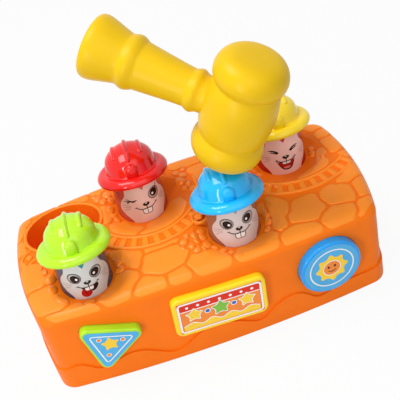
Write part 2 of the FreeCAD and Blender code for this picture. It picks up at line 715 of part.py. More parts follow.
def mole_plunger(x, y):
    """Upright plunger: spring pilot, stem, flange under the collar, spigot and hub inside the head."""
    pilot = SPRING_PILOT_RADIUS
    spigot = HEAD_RADIUS - HEAD_WALL - 0.1
    spigot_top = FLANGE_TOP + SPIGOT_RISE
    flange_low = FLANGE_TOP - FLANGE_THICKNESS
    body = turned((0, STEM_FOOT - SPRING_PILOT), [
        (pilot, STEM_FOOT - SPRING_PILOT), (pilot, STEM_FOOT), (STEM_RADIUS, STEM_FOOT),
        (STEM_RADIUS, flange_low), (FLANGE_RADIUS, flange_low), (FLANGE_RADIUS, FLANGE_TOP),
        (spigot, FLANGE_TOP), (spigot, spigot_top), (spigot - SPIGOT_WALL, spigot_top),
        (spigot - SPIGOT_WALL, FLANGE_TOP), (HUB_RADIUS, FLANGE_TOP), (HUB_RADIUS, HUB_TOP), (0, HUB_TOP),
    ])
    bore = cylinder(HUB_BORE_RADIUS, STEM_FOOT + 6, HUB_TOP + 1)
    finger = cylinder(FINGER_RADIUS, FINGER_FOOT, flange_low + 1, -FINGER_OFFSET, 0)
    plunger = fuse_all([body, finger]).cut(bore)
    plunger.translate(vec(x, y, 0))
    return plunger


def mole_lamp(x, y):
    """Small round board with a light-emitting diode, on top of the plunger's hub inside the head."""
    low = HUB_TOP
    board = cylinder(LAMP_BOARD_RADIUS, low, low + LAMP_BOARD)
    top = low + LAMP_BOARD + LED_HEIGHT
    collar = cylinder(LED_RADIUS + 0.5, low, low + LAMP_BOARD + 1.0)
    bulb = cylinder(LED_RADIUS, low, top - LED_RADIUS)
    tip = Part.makeSphere(LED_RADIUS, vec(0, 0, top - LED_RADIUS))
    lamp = fuse_all([board, collar, bulb, tip])
    lamp.translate(vec(x, y, 0))
    return lamp


def spring_path(radius, low, pitch, quarters):
    """Rising path of arcs, one for each quarter turn."""
    edges = []
    rise = pitch / 4
    for index in range(quarters):
        points = []
        for part in (0, 0.5, 1):
            angle = math.radians(90 * (index + part))
            height = low + rise * (index + part)
            points.append(vec(radius * math.cos(angle), radius * math.sin(angle), height))
        edges.append(Part.Arc(*points).toShape())
    return Part.Wire(edges)


def least_gap(radius, pitch, turns, wire):
    """Smallest clear distance between neighbouring turns, measured on points along the path."""
    steps = 36
    points = []
    for index in range(turns * steps + 1):
        angle = 2 * math.pi * index / steps
        points.append((radius * math.cos(angle), radius * math.sin(angle), pitch * index / steps))
    best = 1e9
    for i, first in enumerate(points):
        for second in points[i + steps // 2:]:
            best = min(best, math.dist(first, second))
    return best - wire


def mole_spring(x, y):
    """Compression spring between the cover's post and the plunger, with one flat dead coil at each end."""
    low = SPRING_SEAT_HEIGHT + SPRING_WIRE / 2 + 0.05
    high = STEM_FOOT - SPRING_WIRE / 2 - 0.05
    pitch = (high - low) / SPRING_TURNS
    path = spring_path(SPRING_RADIUS, low, pitch, 4 * SPRING_TURNS)
    start = vec(SPRING_RADIUS, 0, low)
    heading = path.Edges[0].tangentAt(path.Edges[0].FirstParameter)
    section = Part.Wire(Part.Circle(start, heading, SPRING_WIRE / 2).toShape())
    spring = path.makePipeShell([section], True, False)
    spring.translate(vec(x, y, 0))
    return spring, least_gap(SPRING_RADIUS, pitch, SPRING_TURNS, SPRING_WIRE)


def mole_switch(x, y):
    """Press switch on its own small board; the plunger's finger closes it at the end of the stroke."""
    half = MOLE_SWITCH_BODY / 2
    centre = x - FINGER_OFFSET
    post = centre - SWITCH_POST_OFFSET
    board = block(post - 4, centre + half, y - half - 2, y + half + 2,
                  SWITCH_BOARD_TOP - BOARD_THICKNESS, SWITCH_BOARD_TOP)
    body = block(centre - half, centre + half, y - half, y + half, SWITCH_BOARD_TOP, SWITCH_BODY_TOP)
    button = cylinder(TACT_PLUNGER_RADIUS, SWITCH_BODY_TOP, SWITCH_BUTTON_TOP, centre, y)
    return fuse_all([board, body, button])


def front_button(kind):
    """Button cap: a hollow prism through the wall with a stop flange inside it and a central foot."""
    flange_high = -WALL - BUTTON_STOP_GAP
    flange_low = flange_high - BUTTON_FLANGE_THICKNESS
    cap = button_prism(kind, 0, flange_low, BUTTON_PROUD)
    face = [edge for edge in cap.Edges if edge.BoundBox.ZMin > BUTTON_PROUD - 0.01]
    cap = cap.makeFillet(BUTTON_EDGE, face)
    flange = button_prism(kind, BUTTON_FLANGE, flange_low, flange_high)
    hollow = button_prism(kind, -BUTTON_WALL, flange_low - 1, BUTTON_PROUD - BUTTON_WALL)
    tip = -BUTTON_BOARD_DEPTH + TACT_HEIGHT + TACT_PLUNGER_PROUD
    foot = Part.makeCylinder(BUTTON_FOOT_RADIUS, BUTTON_PROUD - BUTTON_WALL / 2 - tip, vec(0, 0, tip))
    button = fuse_all([cap.fuse(flange).cut(hollow), foot])
    x, z, turn = button_place(kind)
    return on_wall(button, x, z, turn)


def button_label(kind):
    """Thin printed disc or triangle on the face of a button."""
    sheet = button_prism(kind, -BUTTON_LABEL_INSET, BUTTON_PROUD, BUTTON_PROUD + BUTTON_LABEL)
    x, z, turn = button_place(kind)
    return on_wall(sheet, x, z, turn)


def button_switch(kind):
    """Board across two bosses behind the button, with the body of a press switch at its centre."""
    half = BUTTON_BOARD_HALF
    low = -BUTTON_BOARD_DEPTH - BOARD_THICKNESS
    width = BUTTON_BOARD_HEIGHT / 2
    board = block(-half, half, -width, width, low, low + BOARD_THICKNESS)
    body_half = MOLE_SWITCH_BODY / 2
    top = TACT_HEIGHT - BUTTON_BOARD_DEPTH
    body = block(-body_half, body_half, -body_half, body_half, -BUTTON_BOARD_DEPTH, top)
    bore = Part.makeCylinder(TACT_PLUNGER_RADIUS + RUNNING_CLEARANCE, TACT_HEIGHT + 1,
                             vec(0, 0, -BUTTON_BOARD_DEPTH + TACT_FLOOR))
    x, z, turn = button_place(kind)
    return on_wall(board.fuse(body).removeSplitter().cut(bore), x, z)


def button_plunger(kind):
    """Plunger of the press switch, which the button's foot pushes in."""
    low = -BUTTON_BOARD_DEPTH + TACT_FLOOR + BUTTON_TRAVEL + SEAT_CLEARANCE
    high = -BUTTON_BOARD_DEPTH + TACT_HEIGHT + TACT_PLUNGER_PROUD
    pin = Part.makeCylinder(TACT_PLUNGER_RADIUS, high - low, vec(0, 0, low))
    x, z, turn = button_place(kind)
    return on_wall(pin, x, z)


def label_plate():
    """Yellow name plate, set at a slight angle, curved at the back to fit the bowed wall."""
    high = PLATE_THICKNESS
    slab = rounded_rectangle(PLATE_LENGTH, PLATE_HEIGHT, PLATE_CORNER, -4, high)
    face = [edge for edge in slab.Edges if edge.BoundBox.ZMin > high - 0.01]
    slab = slab.makeFillet(PLATE_EDGE, face)
    plate = on_wall(slab, PLATE_X, PLATE_Z, PLATE_TURN).cut(prism(SKIRT_PROUD - 0.05, 0, CROWN_HEIGHT + 20))
    pins = []
    for side in (-1, 1):
        pin = Part.makeCylinder(PLATE_PIN_RADIUS, WALL + 3, vec(side * PLATE_PIN_OFFSET, 0, -WALL - 1.5))
        pins.append(on_wall(pin, PLATE_X, PLATE_Z, PLATE_TURN))
    return fuse_all([plate] + pins)


def plate_label():
    """Thin printed sheet on the plate."""
    sheet = rounded_rectangle(PLATE_LENGTH - 2 * PLATE_BORDER, PLATE_HEIGHT - 2 * PLATE_BORDER, 1.5,
                              PLATE_THICKNESS, PLATE_THICKNESS + BUTTON_LABEL)
    return on_wall(sheet, PLATE_X, PLATE_Z, PLATE_TURN)


def battery_box_size():
    """Inner length and width of the battery box."""
    length = BATTERY_LENGTH + 2 * CONTACT_ROOM
    width = BATTERY_COUNT * (2 * BATTERY_RADIUS + BATTERY_GAP) + BATTERY_GAP
    return length, width


def battery_box():
    """Open-bottomed box over the batteries, standing on the bottom cover, with a rib between each pair."""
    length, width = battery_box_size()
    wall = BATTERY_BOX_WALL
    low = COVER_TOP
    inner_top = FOOT_HEIGHT + DOOR_THICKNESS + 1.0 + 2 * BATTERY_RADIUS + 0.6
    outer = block(BATTERY_X - length / 2 - wall, BATTERY_X + length / 2 + wall,
                  BATTERY_Y - width / 2 - wall, BATTERY_Y + width / 2 + wall, low, inner_top + wall)
    inner = block(BATTERY_X - length / 2, BATTERY_X + length / 2,
                  BATTERY_Y - width / 2, BATTERY_Y + width / 2, low - 1, inner_top)
    return outer.cut(inner)


def battery_rows():
    """Centre line of each battery."""
    pitch = 2 * BATTERY_RADIUS + BATTERY_GAP
    rows = []
    for index in range(BATTERY_COUNT):
        rows.append(BATTERY_Y + (index - (BATTERY_COUNT - 1) / 2) * pitch)
    return rows


def battery(index):
    """One round cell lying along X; neighbours point opposite ways."""
    height = FOOT_HEIGHT + DOOR_THICKNESS + 1.0 + BATTERY_RADIUS
    way = 1 if index % 2 == 0 else -1
    tip = 1.5
    start = vec(BATTERY_X - way * BATTERY_LENGTH / 2, battery_rows()[index], height)
    can = Part.makeCylinder(BATTERY_RADIUS, BATTERY_LENGTH - tip, start, vec(way, 0, 0))
    nub = Part.makeCylinder(2.6, BATTERY_LENGTH, start, vec(way, 0, 0))
    return can.fuse(nub).removeSplitter()


def contact_plates():
    """Flat metal contacts at both ends of the battery row, each bearing on its cell."""
    height = FOOT_HEIGHT + DOOR_THICKNESS + 1.0 + BATTERY_RADIUS
    length, width = battery_box_size()
    plates = []
    for y in battery_rows():
        for side in (-1, 1):
            face = BATTERY_X + side * (BATTERY_LENGTH / 2 + 0.05)
            wall = BATTERY_X + side * (length / 2 - 0.05)
            inner = wall - side * CONTACT_SHEET
            near = min(wall, inner)
            half = CONTACT_HALF
            plate = block(near, near + CONTACT_SHEET, y - half, y + half, height - half, height + half)
            dimple = Part.makeCone(3.6, 2.0, abs(wall - face), vec(wall, y, height), vec(-side, 0, 0))
            plates.append(plate.fuse(dimple).removeSplitter())
    return Part.makeCompound(plates)


def door_size():
    """Outer length and width of the battery door."""
    length, width = battery_box_size()
    return length - 2, width + 6


def battery_door():
    """Flat lid under the batteries with a screw tab at one end."""
    x, y = door_screw_place()
    hole = cylinder(SCREW_RADIUS + 0.1, 0, 10, x, y)
    seat = FOOT_HEIGHT + SCREW_HEAD - DOOR_SCREW_PROUD
    sink = cylinder(SCREW_HEAD_RADIUS + 0.2, FOOT_HEIGHT - 1, seat, x, y)
    return door_blank(0, FOOT_HEIGHT, FOOT_HEIGHT + DOOR_THICKNESS).cut([hole, sink])


def door_blank(grow, low, high):
    """Lid and screw tab without holes, grown all round."""
    length, width = door_size()
    x, y = door_screw_place()
    tab = DOOR_TAB + grow
    lid = block(BATTERY_X - length / 2 - grow, BATTERY_X + length / 2 + grow,
                BATTERY_Y - width / 2 - grow, BATTERY_Y + width / 2 + grow, low, high)
    neck = block(BATTERY_X, x, y - tab, y + tab, low, high)
    return fuse_all([lid, neck, cylinder(tab, low, high, x, y)])


def door_screw_place():
    """Where the door's screw stands, beyond the end wall of the battery box."""
    length, width = battery_box_size()
    return BATTERY_X + length / 2 + BATTERY_BOX_WALL + SEAT_CLEARANCE + BOSS_RADIUS, BATTERY_Y


def screw(x, y, head_low, length):
    """Pan-head screw pointing up."""
    head = cylinder(SCREW_HEAD_RADIUS, head_low, head_low + SCREW_HEAD, x, y)
    shank = cylinder(SCREW_RADIUS - 0.05, head_low, head_low + SCREW_HEAD + length, x, y)
    long = SCREW_HEAD_RADIUS * 0.7
    half = SCREW_SLOT / 2
    low = head_low - 1
    high = head_low + SCREW_SLOT_DEPTH
    slots = [block(x - long, x + long, y - half, y + half, low, high),
             block(x - half, x + half, y - long, y + long, low, high)]
    return head.fuse(shank).removeSplitter().cut(slots)


def foot_places():
    """Centres of the feet: one inside each corner screw, and one in the middle, under the blows."""
    x = HALF_LENGTH - FOOT_INSET_X
    y = HALF_DEPTH - FOOT_INSET_Y
    return [(x, y), (-x, y), (-x, -y), (x, -y), (0, 0)]


def grille_places():
    """Round pattern of sound holes under the speaker, on a hexagonal grid."""
    places = []
    for row in range(-3, 4):
        for column in range(-4, 5):
            x = (column + (row % 2) / 2) * GRILLE_PITCH
            y = row * GRILLE_PITCH * math.sqrt(3) / 2
            if math.hypot(x, y) < SPEAKER_RADIUS - 6:
                places.append((SPEAKER_X + x, SPEAKER_Y + y))
    return places


def main_board_posts():
    """Centres of the four posts under the circuit board."""
    x = MAIN_BOARD_LENGTH / 2 - 4
    y = MAIN_BOARD_WIDTH / 2 - 4
    return [(MAIN_BOARD_X + sx * x, MAIN_BOARD_Y + sy * y) for sx, sy in ((1, 1), (-1, 1), (-1, -1), (1, -1))]


def speaker_screw_places():
    """Three screws round the speaker."""
    reach = SPEAKER_RADIUS + SCREW_RADIUS + 0.5
    places = []
    for angle in (90, 210, 330):
        places.append((SPEAKER_X + reach * math.cos(math.radians(angle)),
                       SPEAKER_Y + reach * math.sin(math.radians(angle))))
    return places


def bottom_cover():
    """Cover plate with spring seats, switch posts, board posts, the speaker ring and the battery opening."""
    plate = prism(SKIRT_PROUD + WALL + COVER_CLEARANCE, FOOT_HEIGHT, COVER_TOP)
    adds = [plate]
    for name, x, y in mole_places():
        tube = cylinder(GUIDE_RADIUS + GUIDE_WALL, COVER_TOP - 1, GUIDE_TOP, x, y)
        adds.append(tube.cut(cylinder(GUIDE_RADIUS, SPRING_SEAT_HEIGHT, GUIDE_TOP + 1, x, y)))
        seat = SPRING_SEAT_HEIGHT
        adds.append(cylinder(SPRING_PILOT_RADIUS, seat - 1, seat + SPRING_PILOT, x, y))
        post = x - FINGER_OFFSET - SWITCH_POST_OFFSET
        adds.append(cylinder(SWITCH_POST_RADIUS, COVER_TOP - 1, SWITCH_BOARD_TOP - BOARD_THICKNESS, post, y))
    for x, y in main_board_posts():
        adds.append(cylinder(SMALL_POST_RADIUS, COVER_TOP - 1, MAIN_BOARD_HEIGHT, x, y))
    rim = [cylinder(SPEAKER_RADIUS + 2, COVER_TOP - 1, COVER_TOP + SPEAKER_FLANGE, SPEAKER_X, SPEAKER_Y)]
    for x, y in speaker_screw_places():
        rim.append(cylinder(SMALL_POST_RADIUS, COVER_TOP - 1, COVER_TOP + SPEAKER_FLANGE, x, y))
    rim_top = COVER_TOP + SPEAKER_FLANGE
    pocket = cylinder(SPEAKER_RADIUS + SEAT_CLEARANCE, COVER_TOP, rim_top + 1, SPEAKER_X, SPEAKER_Y)
    adds.append(fuse_all(rim).cut(pocket))
    door_x, door_y = door_screw_place()
    adds.append(cylinder(BOSS_RADIUS, COVER_TOP - 1, COVER_TOP + 6, door_x, door_y))
    body = fuse_all(adds)
    length, width = battery_box_size()
    x_reach = length / 2 - 1
    y_reach = width / 2
    cuts = [block(BATTERY_X - x_reach, BATTERY_X + x_reach, BATTERY_Y - y_reach, BATTERY_Y + y_reach,
                  FOOT_HEIGHT - 1, COVER_TOP + 1)]
    cuts.append(door_blank(DOOR_CLEARANCE, FOOT_HEIGHT - 1, FOOT_HEIGHT + DOOR_THICKNESS + 0.05))
    cuts.append(cylinder(SCREW_RADIUS, 0, COVER_TOP + 5, door_x, door_y))
    for x, y in screw_places():
        cuts.append(cylinder(SCREW_RADIUS + 0.2, 0, COVER_TOP + 1, x, y))
        cuts.append(cylinder(SCREW_HEAD_RADIUS + 0.2, 0, FOOT_HEIGHT + SCREW_HEAD, x, y))
    for x, y in foot_places():
        cuts.append(cylinder(FOOT_RADIUS + 0.05, 0, FOOT_HEIGHT + FOOT_DEPTH, x, y))
    for x, y in grille_places():
        cuts.append(cylinder(GRILLE_HOLE_RADIUS, 0, COVER_TOP + 1, x, y))
    for x, y in main_board_posts():
        cuts.append(cylinder(SCREW_RADIUS, COVER_TOP, MAIN_BOARD_HEIGHT + 1, x, y))
    for x, y in speaker_screw_places():
        cuts.append(cylinder(SCREW_RADIUS, COVER_TOP - 1, COVER_TOP + 3, x, y))
    slot = POWER_KNOB / 2 + SEAT_CLEARANCE
    cuts.append(block(POWER_SWITCH_X - slot, POWER_SWITCH_X + POWER_SWITCH_TRAVEL + slot,
                      POWER_SWITCH_Y - slot, POWER_SWITCH_Y + slot, 0, COVER_TOP + 1))
    return body.cut(cuts)


def rubber_feet():
    """Five round rubber pads let into the cover."""
    feet = []
    for x, y in foot_places():
        foot = cylinder(FOOT_RADIUS, 0, FOOT_HEIGHT + FOOT_DEPTH, x, y)
        rim = [edge for edge in foot.Edges if edge.BoundBox.ZMax < 0.01]
        feet.append(foot.makeFillet(0.5, rim))
    return Part.makeCompound(feet)


def main_board():
    """Circuit board on four posts with a chip, a capacitor and a plug."""
    x0 = MAIN_BOARD_X - MAIN_BOARD_LENGTH / 2
    y0 = MAIN_BOARD_Y - MAIN_BOARD_WIDTH / 2
    low = MAIN_BOARD_HEIGHT
    high = low + BOARD_THICKNESS
    board = block(x0, x0 + MAIN_BOARD_LENGTH, y0, y0 + MAIN_BOARD_WIDTH, low, high)
    holes = [cylinder(SCREW_RADIUS + 0.2, low - 1, high + 1, x, y) for x, y in main_board_posts()]
    chip = block(MAIN_BOARD_X - 6, MAIN_BOARD_X + 6, MAIN_BOARD_Y - 5, MAIN_BOARD_Y + 5, high, high + 1.8)
    plug = block(MAIN_BOARD_X - 18, MAIN_BOARD_X - 12, MAIN_BOARD_Y - 8, MAIN_BOARD_Y + 8, high, high + 5)
    can = cylinder(3.2, high, high + 9, MAIN_BOARD_X + 14, MAIN_BOARD_Y - 3)
    return fuse_all([board.cut(holes), chip, plug, can])


def main_board_screws():
    """Screws that hold the circuit board down."""
    return Part.makeCompound([turned_down(screw(x, y, 0, 5), x, y, MAIN_BOARD_HEIGHT + BOARD_THICKNESS)
                              for x, y in main_board_posts()])


def turned_down(piece, x, y, seat):
    """Turn an upward screw over so that its head rests on a seat and its shank points down."""
    piece.rotate(vec(x, y, 0), vec(1, 0, 0), 180)
    piece.translate(vec(0, 0, seat + SCREW_HEAD))
    return piece


def speaker():
    """Small round speaker facing down: flange, cone basket and magnet."""
    low = COVER_TOP
    high = low + SPEAKER_FLANGE
    rim = SPEAKER_RADIUS
    magnet = SPEAKER_MAGNET_RADIUS
    body = turned((0, low + 1.2), [
        (rim - 6, low + 0.4), (rim - 1.5, low), (rim, low), (rim, high), (rim - 2, high),
        (magnet + 1, low + 6), (magnet, low + 6), (magnet, low + SPEAKER_DEPTH), (0, low + SPEAKER_DEPTH),
    ])
    body.translate(vec(SPEAKER_X, SPEAKER_Y, 0))
    return body


def speaker_screws():
    """Screws whose heads hold the speaker's flange down."""
    seat = COVER_TOP + SPEAKER_FLANGE + 0.05
    return Part.makeCompound([turned_down(screw(x, y, 0, 2), x, y, seat) for x, y in speaker_screw_places()])


def power_switch():
    """Body of the slide switch on the cover, open below for its knob."""
    half = 4.5
    x0 = POWER_SWITCH_X - 3.5
    x1 = POWER_SWITCH_X + POWER_SWITCH_TRAVEL + 3.5
    body = block(x0, x1, POWER_SWITCH_Y - half, POWER_SWITCH_Y + half, COVER_TOP, COVER_TOP + 6)
    room = block(x0 + 1.2, x1 - 1.2, POWER_SWITCH_Y - 2.6, POWER_SWITCH_Y + 2.6, COVER_TOP - 1, COVER_TOP + 4)
    return body.cut(room)


def power_switch_knob():
    """Knob of the slide switch, which stands in a slot of the cover."""
    x = POWER_SWITCH_X
    y = POWER_SWITCH_Y
    shoe = block(x - 2.0, x + 2.0, y - 2.3, y + 2.3, COVER_TOP + 0.3, COVER_TOP + 3.7)
    half = POWER_KNOB / 2
    knob = block(x - half, x + half, y - half, y + half, FOOT_HEIGHT + 0.3, COVER_TOP + 1)
    return shoe.fuse(knob).removeSplitter()


def hammer_head(shrink):
    """Mallet head on the Z axis: two rolled end lips, a groove inside each, and a barrel between them."""
    half = HAMMER_LENGTH / 2 - shrink
    lip = HAMMER_LIP_RADIUS - shrink
    roll = HAMMER_FACE_ROLL
    bend = roll * math.sqrt(0.5)
    side = [(radius - shrink, height) for radius, height in HAMMER_SIDE]
    lower = [(radius, -height) for radius, height in reversed(side)]
    around = side + [(HAMMER_BARREL_RADIUS - shrink, 0)] + lower + [(lip, roll - half)]
    corner = (lip - roll + bend, half - roll + bend)
    return turned((0, half), [
        (lip - roll, half), (corner, (lip, half - roll)), around,
        ((corner[0], -corner[1]), (lip - roll, -half)), (0, -half),
    ])


def hammer_handle(shrink):
    """Handle along -X with two beads and a flared, rounded end."""
    def inward(points):
        return [(radius - shrink, min(height, HANDLE_REACH - shrink)) for radius, height in points]

    first = inward(HANDLE_FIRST_BEAD)
    second = inward(HANDLE_SECOND_BEAD)
    neck = HANDLE_NECK_RADIUS - shrink
    reach = HANDLE_REACH - shrink
    flare = [(radius, height - shrink * height / HANDLE_REACH) for radius, height in inward(HANDLE_FLARE)]
    handle = turned((0, HANDLE_ROOT), [
        (neck, HANDLE_ROOT), first[0], (first[1], first[2]), second[0], (second[1], second[2]),
        flare + [(HANDLE_FACE_RADIUS - shrink, reach)], (0, reach),
    ])
    handle.rotate(vec(0, 0, 0), vec(0, 1, 0), -90)
    return handle


def hammer_frame():
    """Unit vectors of the posed hammer: local X, Y and Z, with the handle square to the head."""
    axis = vec(*HAMMER_AXIS).normalize()
    handle = vec(*HANDLE_DIRECTION)
    handle = (handle - axis * handle.dot(axis)).normalize()
    local_x = handle * -1
    local_y = axis.cross(local_x)
    return local_x, local_y, axis


def hammer(hat, hat_x, hat_y):
    """The hammer, posed with its lower face just clear of the hat that it strikes."""
    outer = hammer_head(0).fuse(hammer_handle(0)).removeSplitter()
    inner = hammer_head(HAMMER_WALL).fuse(hammer_handle(HAMMER_WALL)).removeSplitter()
    body = outer.cut(inner)
    local_x, local_y, axis = hammer_frame()
    into = FreeCAD.Matrix(local_x.x, local_x.y, local_x.z, 0, local_y.x, local_y.y, local_y.z, 0,
                          axis.x, axis.y, axis.z, 0, 0, 0, 0, 1)
    reach = hat.transformGeometry(into).optimalBoundingBox().ZMax
    target = vec(hat_x + HAMMER_SHIFT_X, hat_y + HAMMER_SHIFT_Y, BRIM_HEIGHT)
    target = target + axis * (reach + HAMMER_CLEARANCE - target.dot(axis) + HAMMER_LENGTH / 2)
    out = FreeCAD.Matrix(local_x.x, local_y.x, axis.x, target.x, local_x.y, local_y.y, axis.y, target.y,
                         local_x.z, local_y.z, axis.z, target.z, 0, 0, 0, 1)
    body.Placement = FreeCAD.Placement(out)
    return body


def build():
    """All the pieces of the toy by name."""
    parts = {"top_housing": top_housing(), "bottom_cover": bottom_cover(), "rubber_feet": rubber_feet()}
    screws = [screw(x, y, FOOT_HEIGHT, SCREW_LENGTH) for x, y in screw_places()]
    parts["housing_screws"] = Part.makeCompound(screws)
    gaps = []
    for name, x, y in mole_places():
        parts[name + "_mole_head"] = mole_head(x, y)
        parts[name + "_hard_hat"] = hard_hat(x, y)
        parts[name + "_mole_plunger"] = mole_plunger(x, y)
        parts[name + "_mole_lamp"] = mole_lamp(x, y)
        parts[name + "_mole_switch"] = mole_switch(x, y)
        spring, gap = mole_spring(x, y)
        parts[name + "_mole_spring"] = spring
        gaps.append(gap)
    print("least gap between spring turns, mm:", round(min(gaps), 2))
    for kind in ("round", "triangle"):
        parts[kind + "_button"] = front_button(kind)
        parts[kind + "_button_label"] = button_label(kind)
        parts[kind + "_button_switch"] = button_switch(kind)
        parts[kind + "_switch_plunger"] = button_plunger(kind)
    parts["label_plate"] = label_plate()
    parts["plate_label"] = plate_label()
    parts["battery_box"] = battery_box()
    parts["battery_door"] = battery_door()
    door_x, door_y = door_screw_place()
    parts["battery_door_screw"] = screw(door_x, door_y, FOOT_HEIGHT - DOOR_SCREW_PROUD, DOOR_SCREW_LENGTH)
    for index in range(BATTERY_COUNT):
        parts["battery_" + str(index + 1)] = battery(index)
    parts["battery_contacts"] = contact_plates()
    parts["main_board"] = main_board()
    parts["main_board_screws"] = main_board_screws()
    parts["speaker"] = speaker()
    parts["speaker_screws"] = speaker_screws()
    parts["power_switch"] = power_switch()
    parts["power_switch_knob"] = power_switch_knob()
    places = {name: (x, y) for name, x, y in mole_places()}
    hat_x, hat_y = places["blue"]
    parts["hammer"] = hammer(parts["blue_hard_hat"], hat_x, hat_y)
    return parts


os.makedirs("parts", exist_ok=True)
for part_name, part_shape in build().items():
    if not part_shape.isValid():
        print("not valid:", part_name)
    part_shape.exportStep("parts/" + part_name + ".step")
    print(part_name, "solids", len(part_shape.Solids), "volume", round(part_shape.Volume, 1))
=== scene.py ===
"""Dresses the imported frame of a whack-a-mole toy: moles, hats, stones, prints, hammer, floor and light.

Sizes are written in millimetres, as in the part's source, and turned into metres when a mesh is made.
"""

import json
import logging
import math
from dataclasses import dataclass, field
from enum import Enum
from typing import Callable, Sequence

import bmesh
import bpy
from mathutils import Matrix, Vector


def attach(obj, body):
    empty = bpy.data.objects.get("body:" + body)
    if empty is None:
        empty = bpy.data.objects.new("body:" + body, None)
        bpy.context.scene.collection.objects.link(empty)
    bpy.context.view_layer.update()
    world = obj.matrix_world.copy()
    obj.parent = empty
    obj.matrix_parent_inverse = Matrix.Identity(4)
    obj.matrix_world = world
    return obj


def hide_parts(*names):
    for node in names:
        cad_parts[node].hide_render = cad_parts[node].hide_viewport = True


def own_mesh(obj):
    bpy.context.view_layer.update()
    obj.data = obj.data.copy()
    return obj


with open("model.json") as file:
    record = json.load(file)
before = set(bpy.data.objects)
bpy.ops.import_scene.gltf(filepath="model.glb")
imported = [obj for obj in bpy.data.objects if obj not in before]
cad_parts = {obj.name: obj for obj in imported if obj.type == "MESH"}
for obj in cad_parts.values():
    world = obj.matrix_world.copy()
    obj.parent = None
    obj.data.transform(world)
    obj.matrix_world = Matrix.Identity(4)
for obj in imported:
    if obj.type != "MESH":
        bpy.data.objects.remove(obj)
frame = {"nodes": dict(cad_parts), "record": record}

LOG = logging.getLogger("whack_a_mole")
MM = 0.001
WELD_M = 1e-6
CLOUD_DETAIL = 3.0
GRAIN_DETAIL = 4.0
TONE_EDGES = (0.35, 0.65)
LEAST_ROUGHNESS = 0.02
COAT_ROUGHNESS = 0.04
BRUSH_STRETCH = (0.08, 1.0, 1.0)
EVEN_STRETCH = (1.0, 1.0, 1.0)
BUMP_STRENGTH = 0.5
WHITE = (1.0, 1.0, 1.0, 1.0)
Point2 = tuple[float, float]
Colour = tuple[float, float, float]
Spot = tuple[float, float, float]
Inputs = dict[str | int, object]
ORIGIN: Point2 = (0.0, 0.0)


def feed(tree: bpy.types.NodeTree, node: bpy.types.Node, inputs: Inputs) -> None:
    """Set a node's inputs.

    Args:
        tree: The node tree that the node is in.
        node: The node.
        inputs: The value of each input, or the output that it is linked to.
    """
    for key, value in inputs.items():
        if isinstance(value, bpy.types.NodeSocket):
            tree.links.new(value, node.inputs[key])
        else:
            node.inputs[key].default_value = value


def add_node(tree: bpy.types.NodeTree, kind: str, inputs: Inputs) -> bpy.types.Node:
    """Add a shader node.

    Args:
        tree: The node tree that it is added to.
        kind: The node's type.
        inputs: The value of each input, or the output that it is linked to.

    Returns:
        The new node.
    """
    node = tree.nodes.new(kind)
    feed(tree, node, inputs)
    return node


class Grain(Enum):
    """How the fine surface texture of a finish is laid out."""

    MOULDED = "moulded"
    BRUSHED = "brushed"
    SPECKLED = "speckled"


@dataclass(frozen=True)
class Finish:
    """One real finish: two near tones, gloss, and a fine texture with a real scale."""

    name: str
    colour: Colour
    tone: Colour
    roughness: float = 0.3
    spread: float = 0.06
    coat: float = 0.0
    metallic: float = 0.0
    grain: Grain = Grain.MOULDED
    grain_mm: float = 0.6
    depth_mm: float = 0.01
    patch_mm: float = 18.0
    specular: float = 0.5

    def material(self) -> bpy.types.Material:
        """Make the material, or return it when it has been made before.

        Returns:
            The node material of this finish.
        """
        title = self.name + "_finish"
        known = bpy.data.materials.get(title)
        if known is not None:
            return known
        material = bpy.data.materials.new(title)
        material.use_nodes = True
        tree = material.node_tree
        place = add_node(tree, "ShaderNodeTexCoord", {}).outputs["Object"]
        size = 1.0 / (self.patch_mm * MM)
        cloud = add_node(tree, "ShaderNodeTexNoise", {"Vector": place, "Scale": size, "Detail": CLOUD_DETAIL})
        share = add_node(tree, "ShaderNodeMapRange", {
            "Value": cloud.outputs["Fac"], "From Min": TONE_EDGES[0], "From Max": TONE_EDGES[1]})
        gloss = add_node(tree, "ShaderNodeMapRange", {
            "Value": cloud.outputs["Fac"], "To Min": max(LEAST_ROUGHNESS, self.roughness - self.spread),
            "To Max": self.roughness + self.spread})
        tones = tree.nodes.new("ShaderNodeMix")
        tones.data_type = "RGBA"
        feed(tree, tones, {
            "Factor": share.outputs["Result"], "A": (*self.colour, 1.0), "B": (*self.tone, 1.0)})
        feed(tree, tree.nodes["Principled BSDF"], {
            "Base Color": tones.outputs["Result"], "Roughness": gloss.outputs["Result"],
            "Normal": self._bump(tree, place), "Metallic": self.metallic, "Coat Weight": self.coat,
            "Coat Roughness": COAT_ROUGHNESS, "Specular IOR Level": self.specular})
        return material

    def _bump(self, tree: bpy.types.NodeTree, place: bpy.types.NodeSocket) -> bpy.types.NodeSocket:
        """Add the fine texture.

        Args:
            tree: The material's node tree.
            place: The texture coordinates.

        Returns:
            The normal output of the bump node.
        """
        stretch = BRUSH_STRETCH if self.grain is Grain.BRUSHED else EVEN_STRETCH
        spot = add_node(tree, "ShaderNodeMapping", {"Vector": place, "Scale": stretch}).outputs["Vector"]
        inputs = {"Vector": spot, "Scale": 1.0 / (self.grain_mm * MM)}
        if self.grain is Grain.SPECKLED:
            height = add_node(tree, "ShaderNodeTexVoronoi", inputs).outputs["Distance"]
        else:
            height = add_node(tree, "ShaderNodeTexNoise", {**inputs, "Detail": GRAIN_DETAIL}).outputs["Fac"]
        bump = {"Height": height, "Distance": self.depth_mm * MM, "Strength": BUMP_STRENGTH}
        return add_node(tree, "ShaderNodeBump", bump).outputs["Normal"]


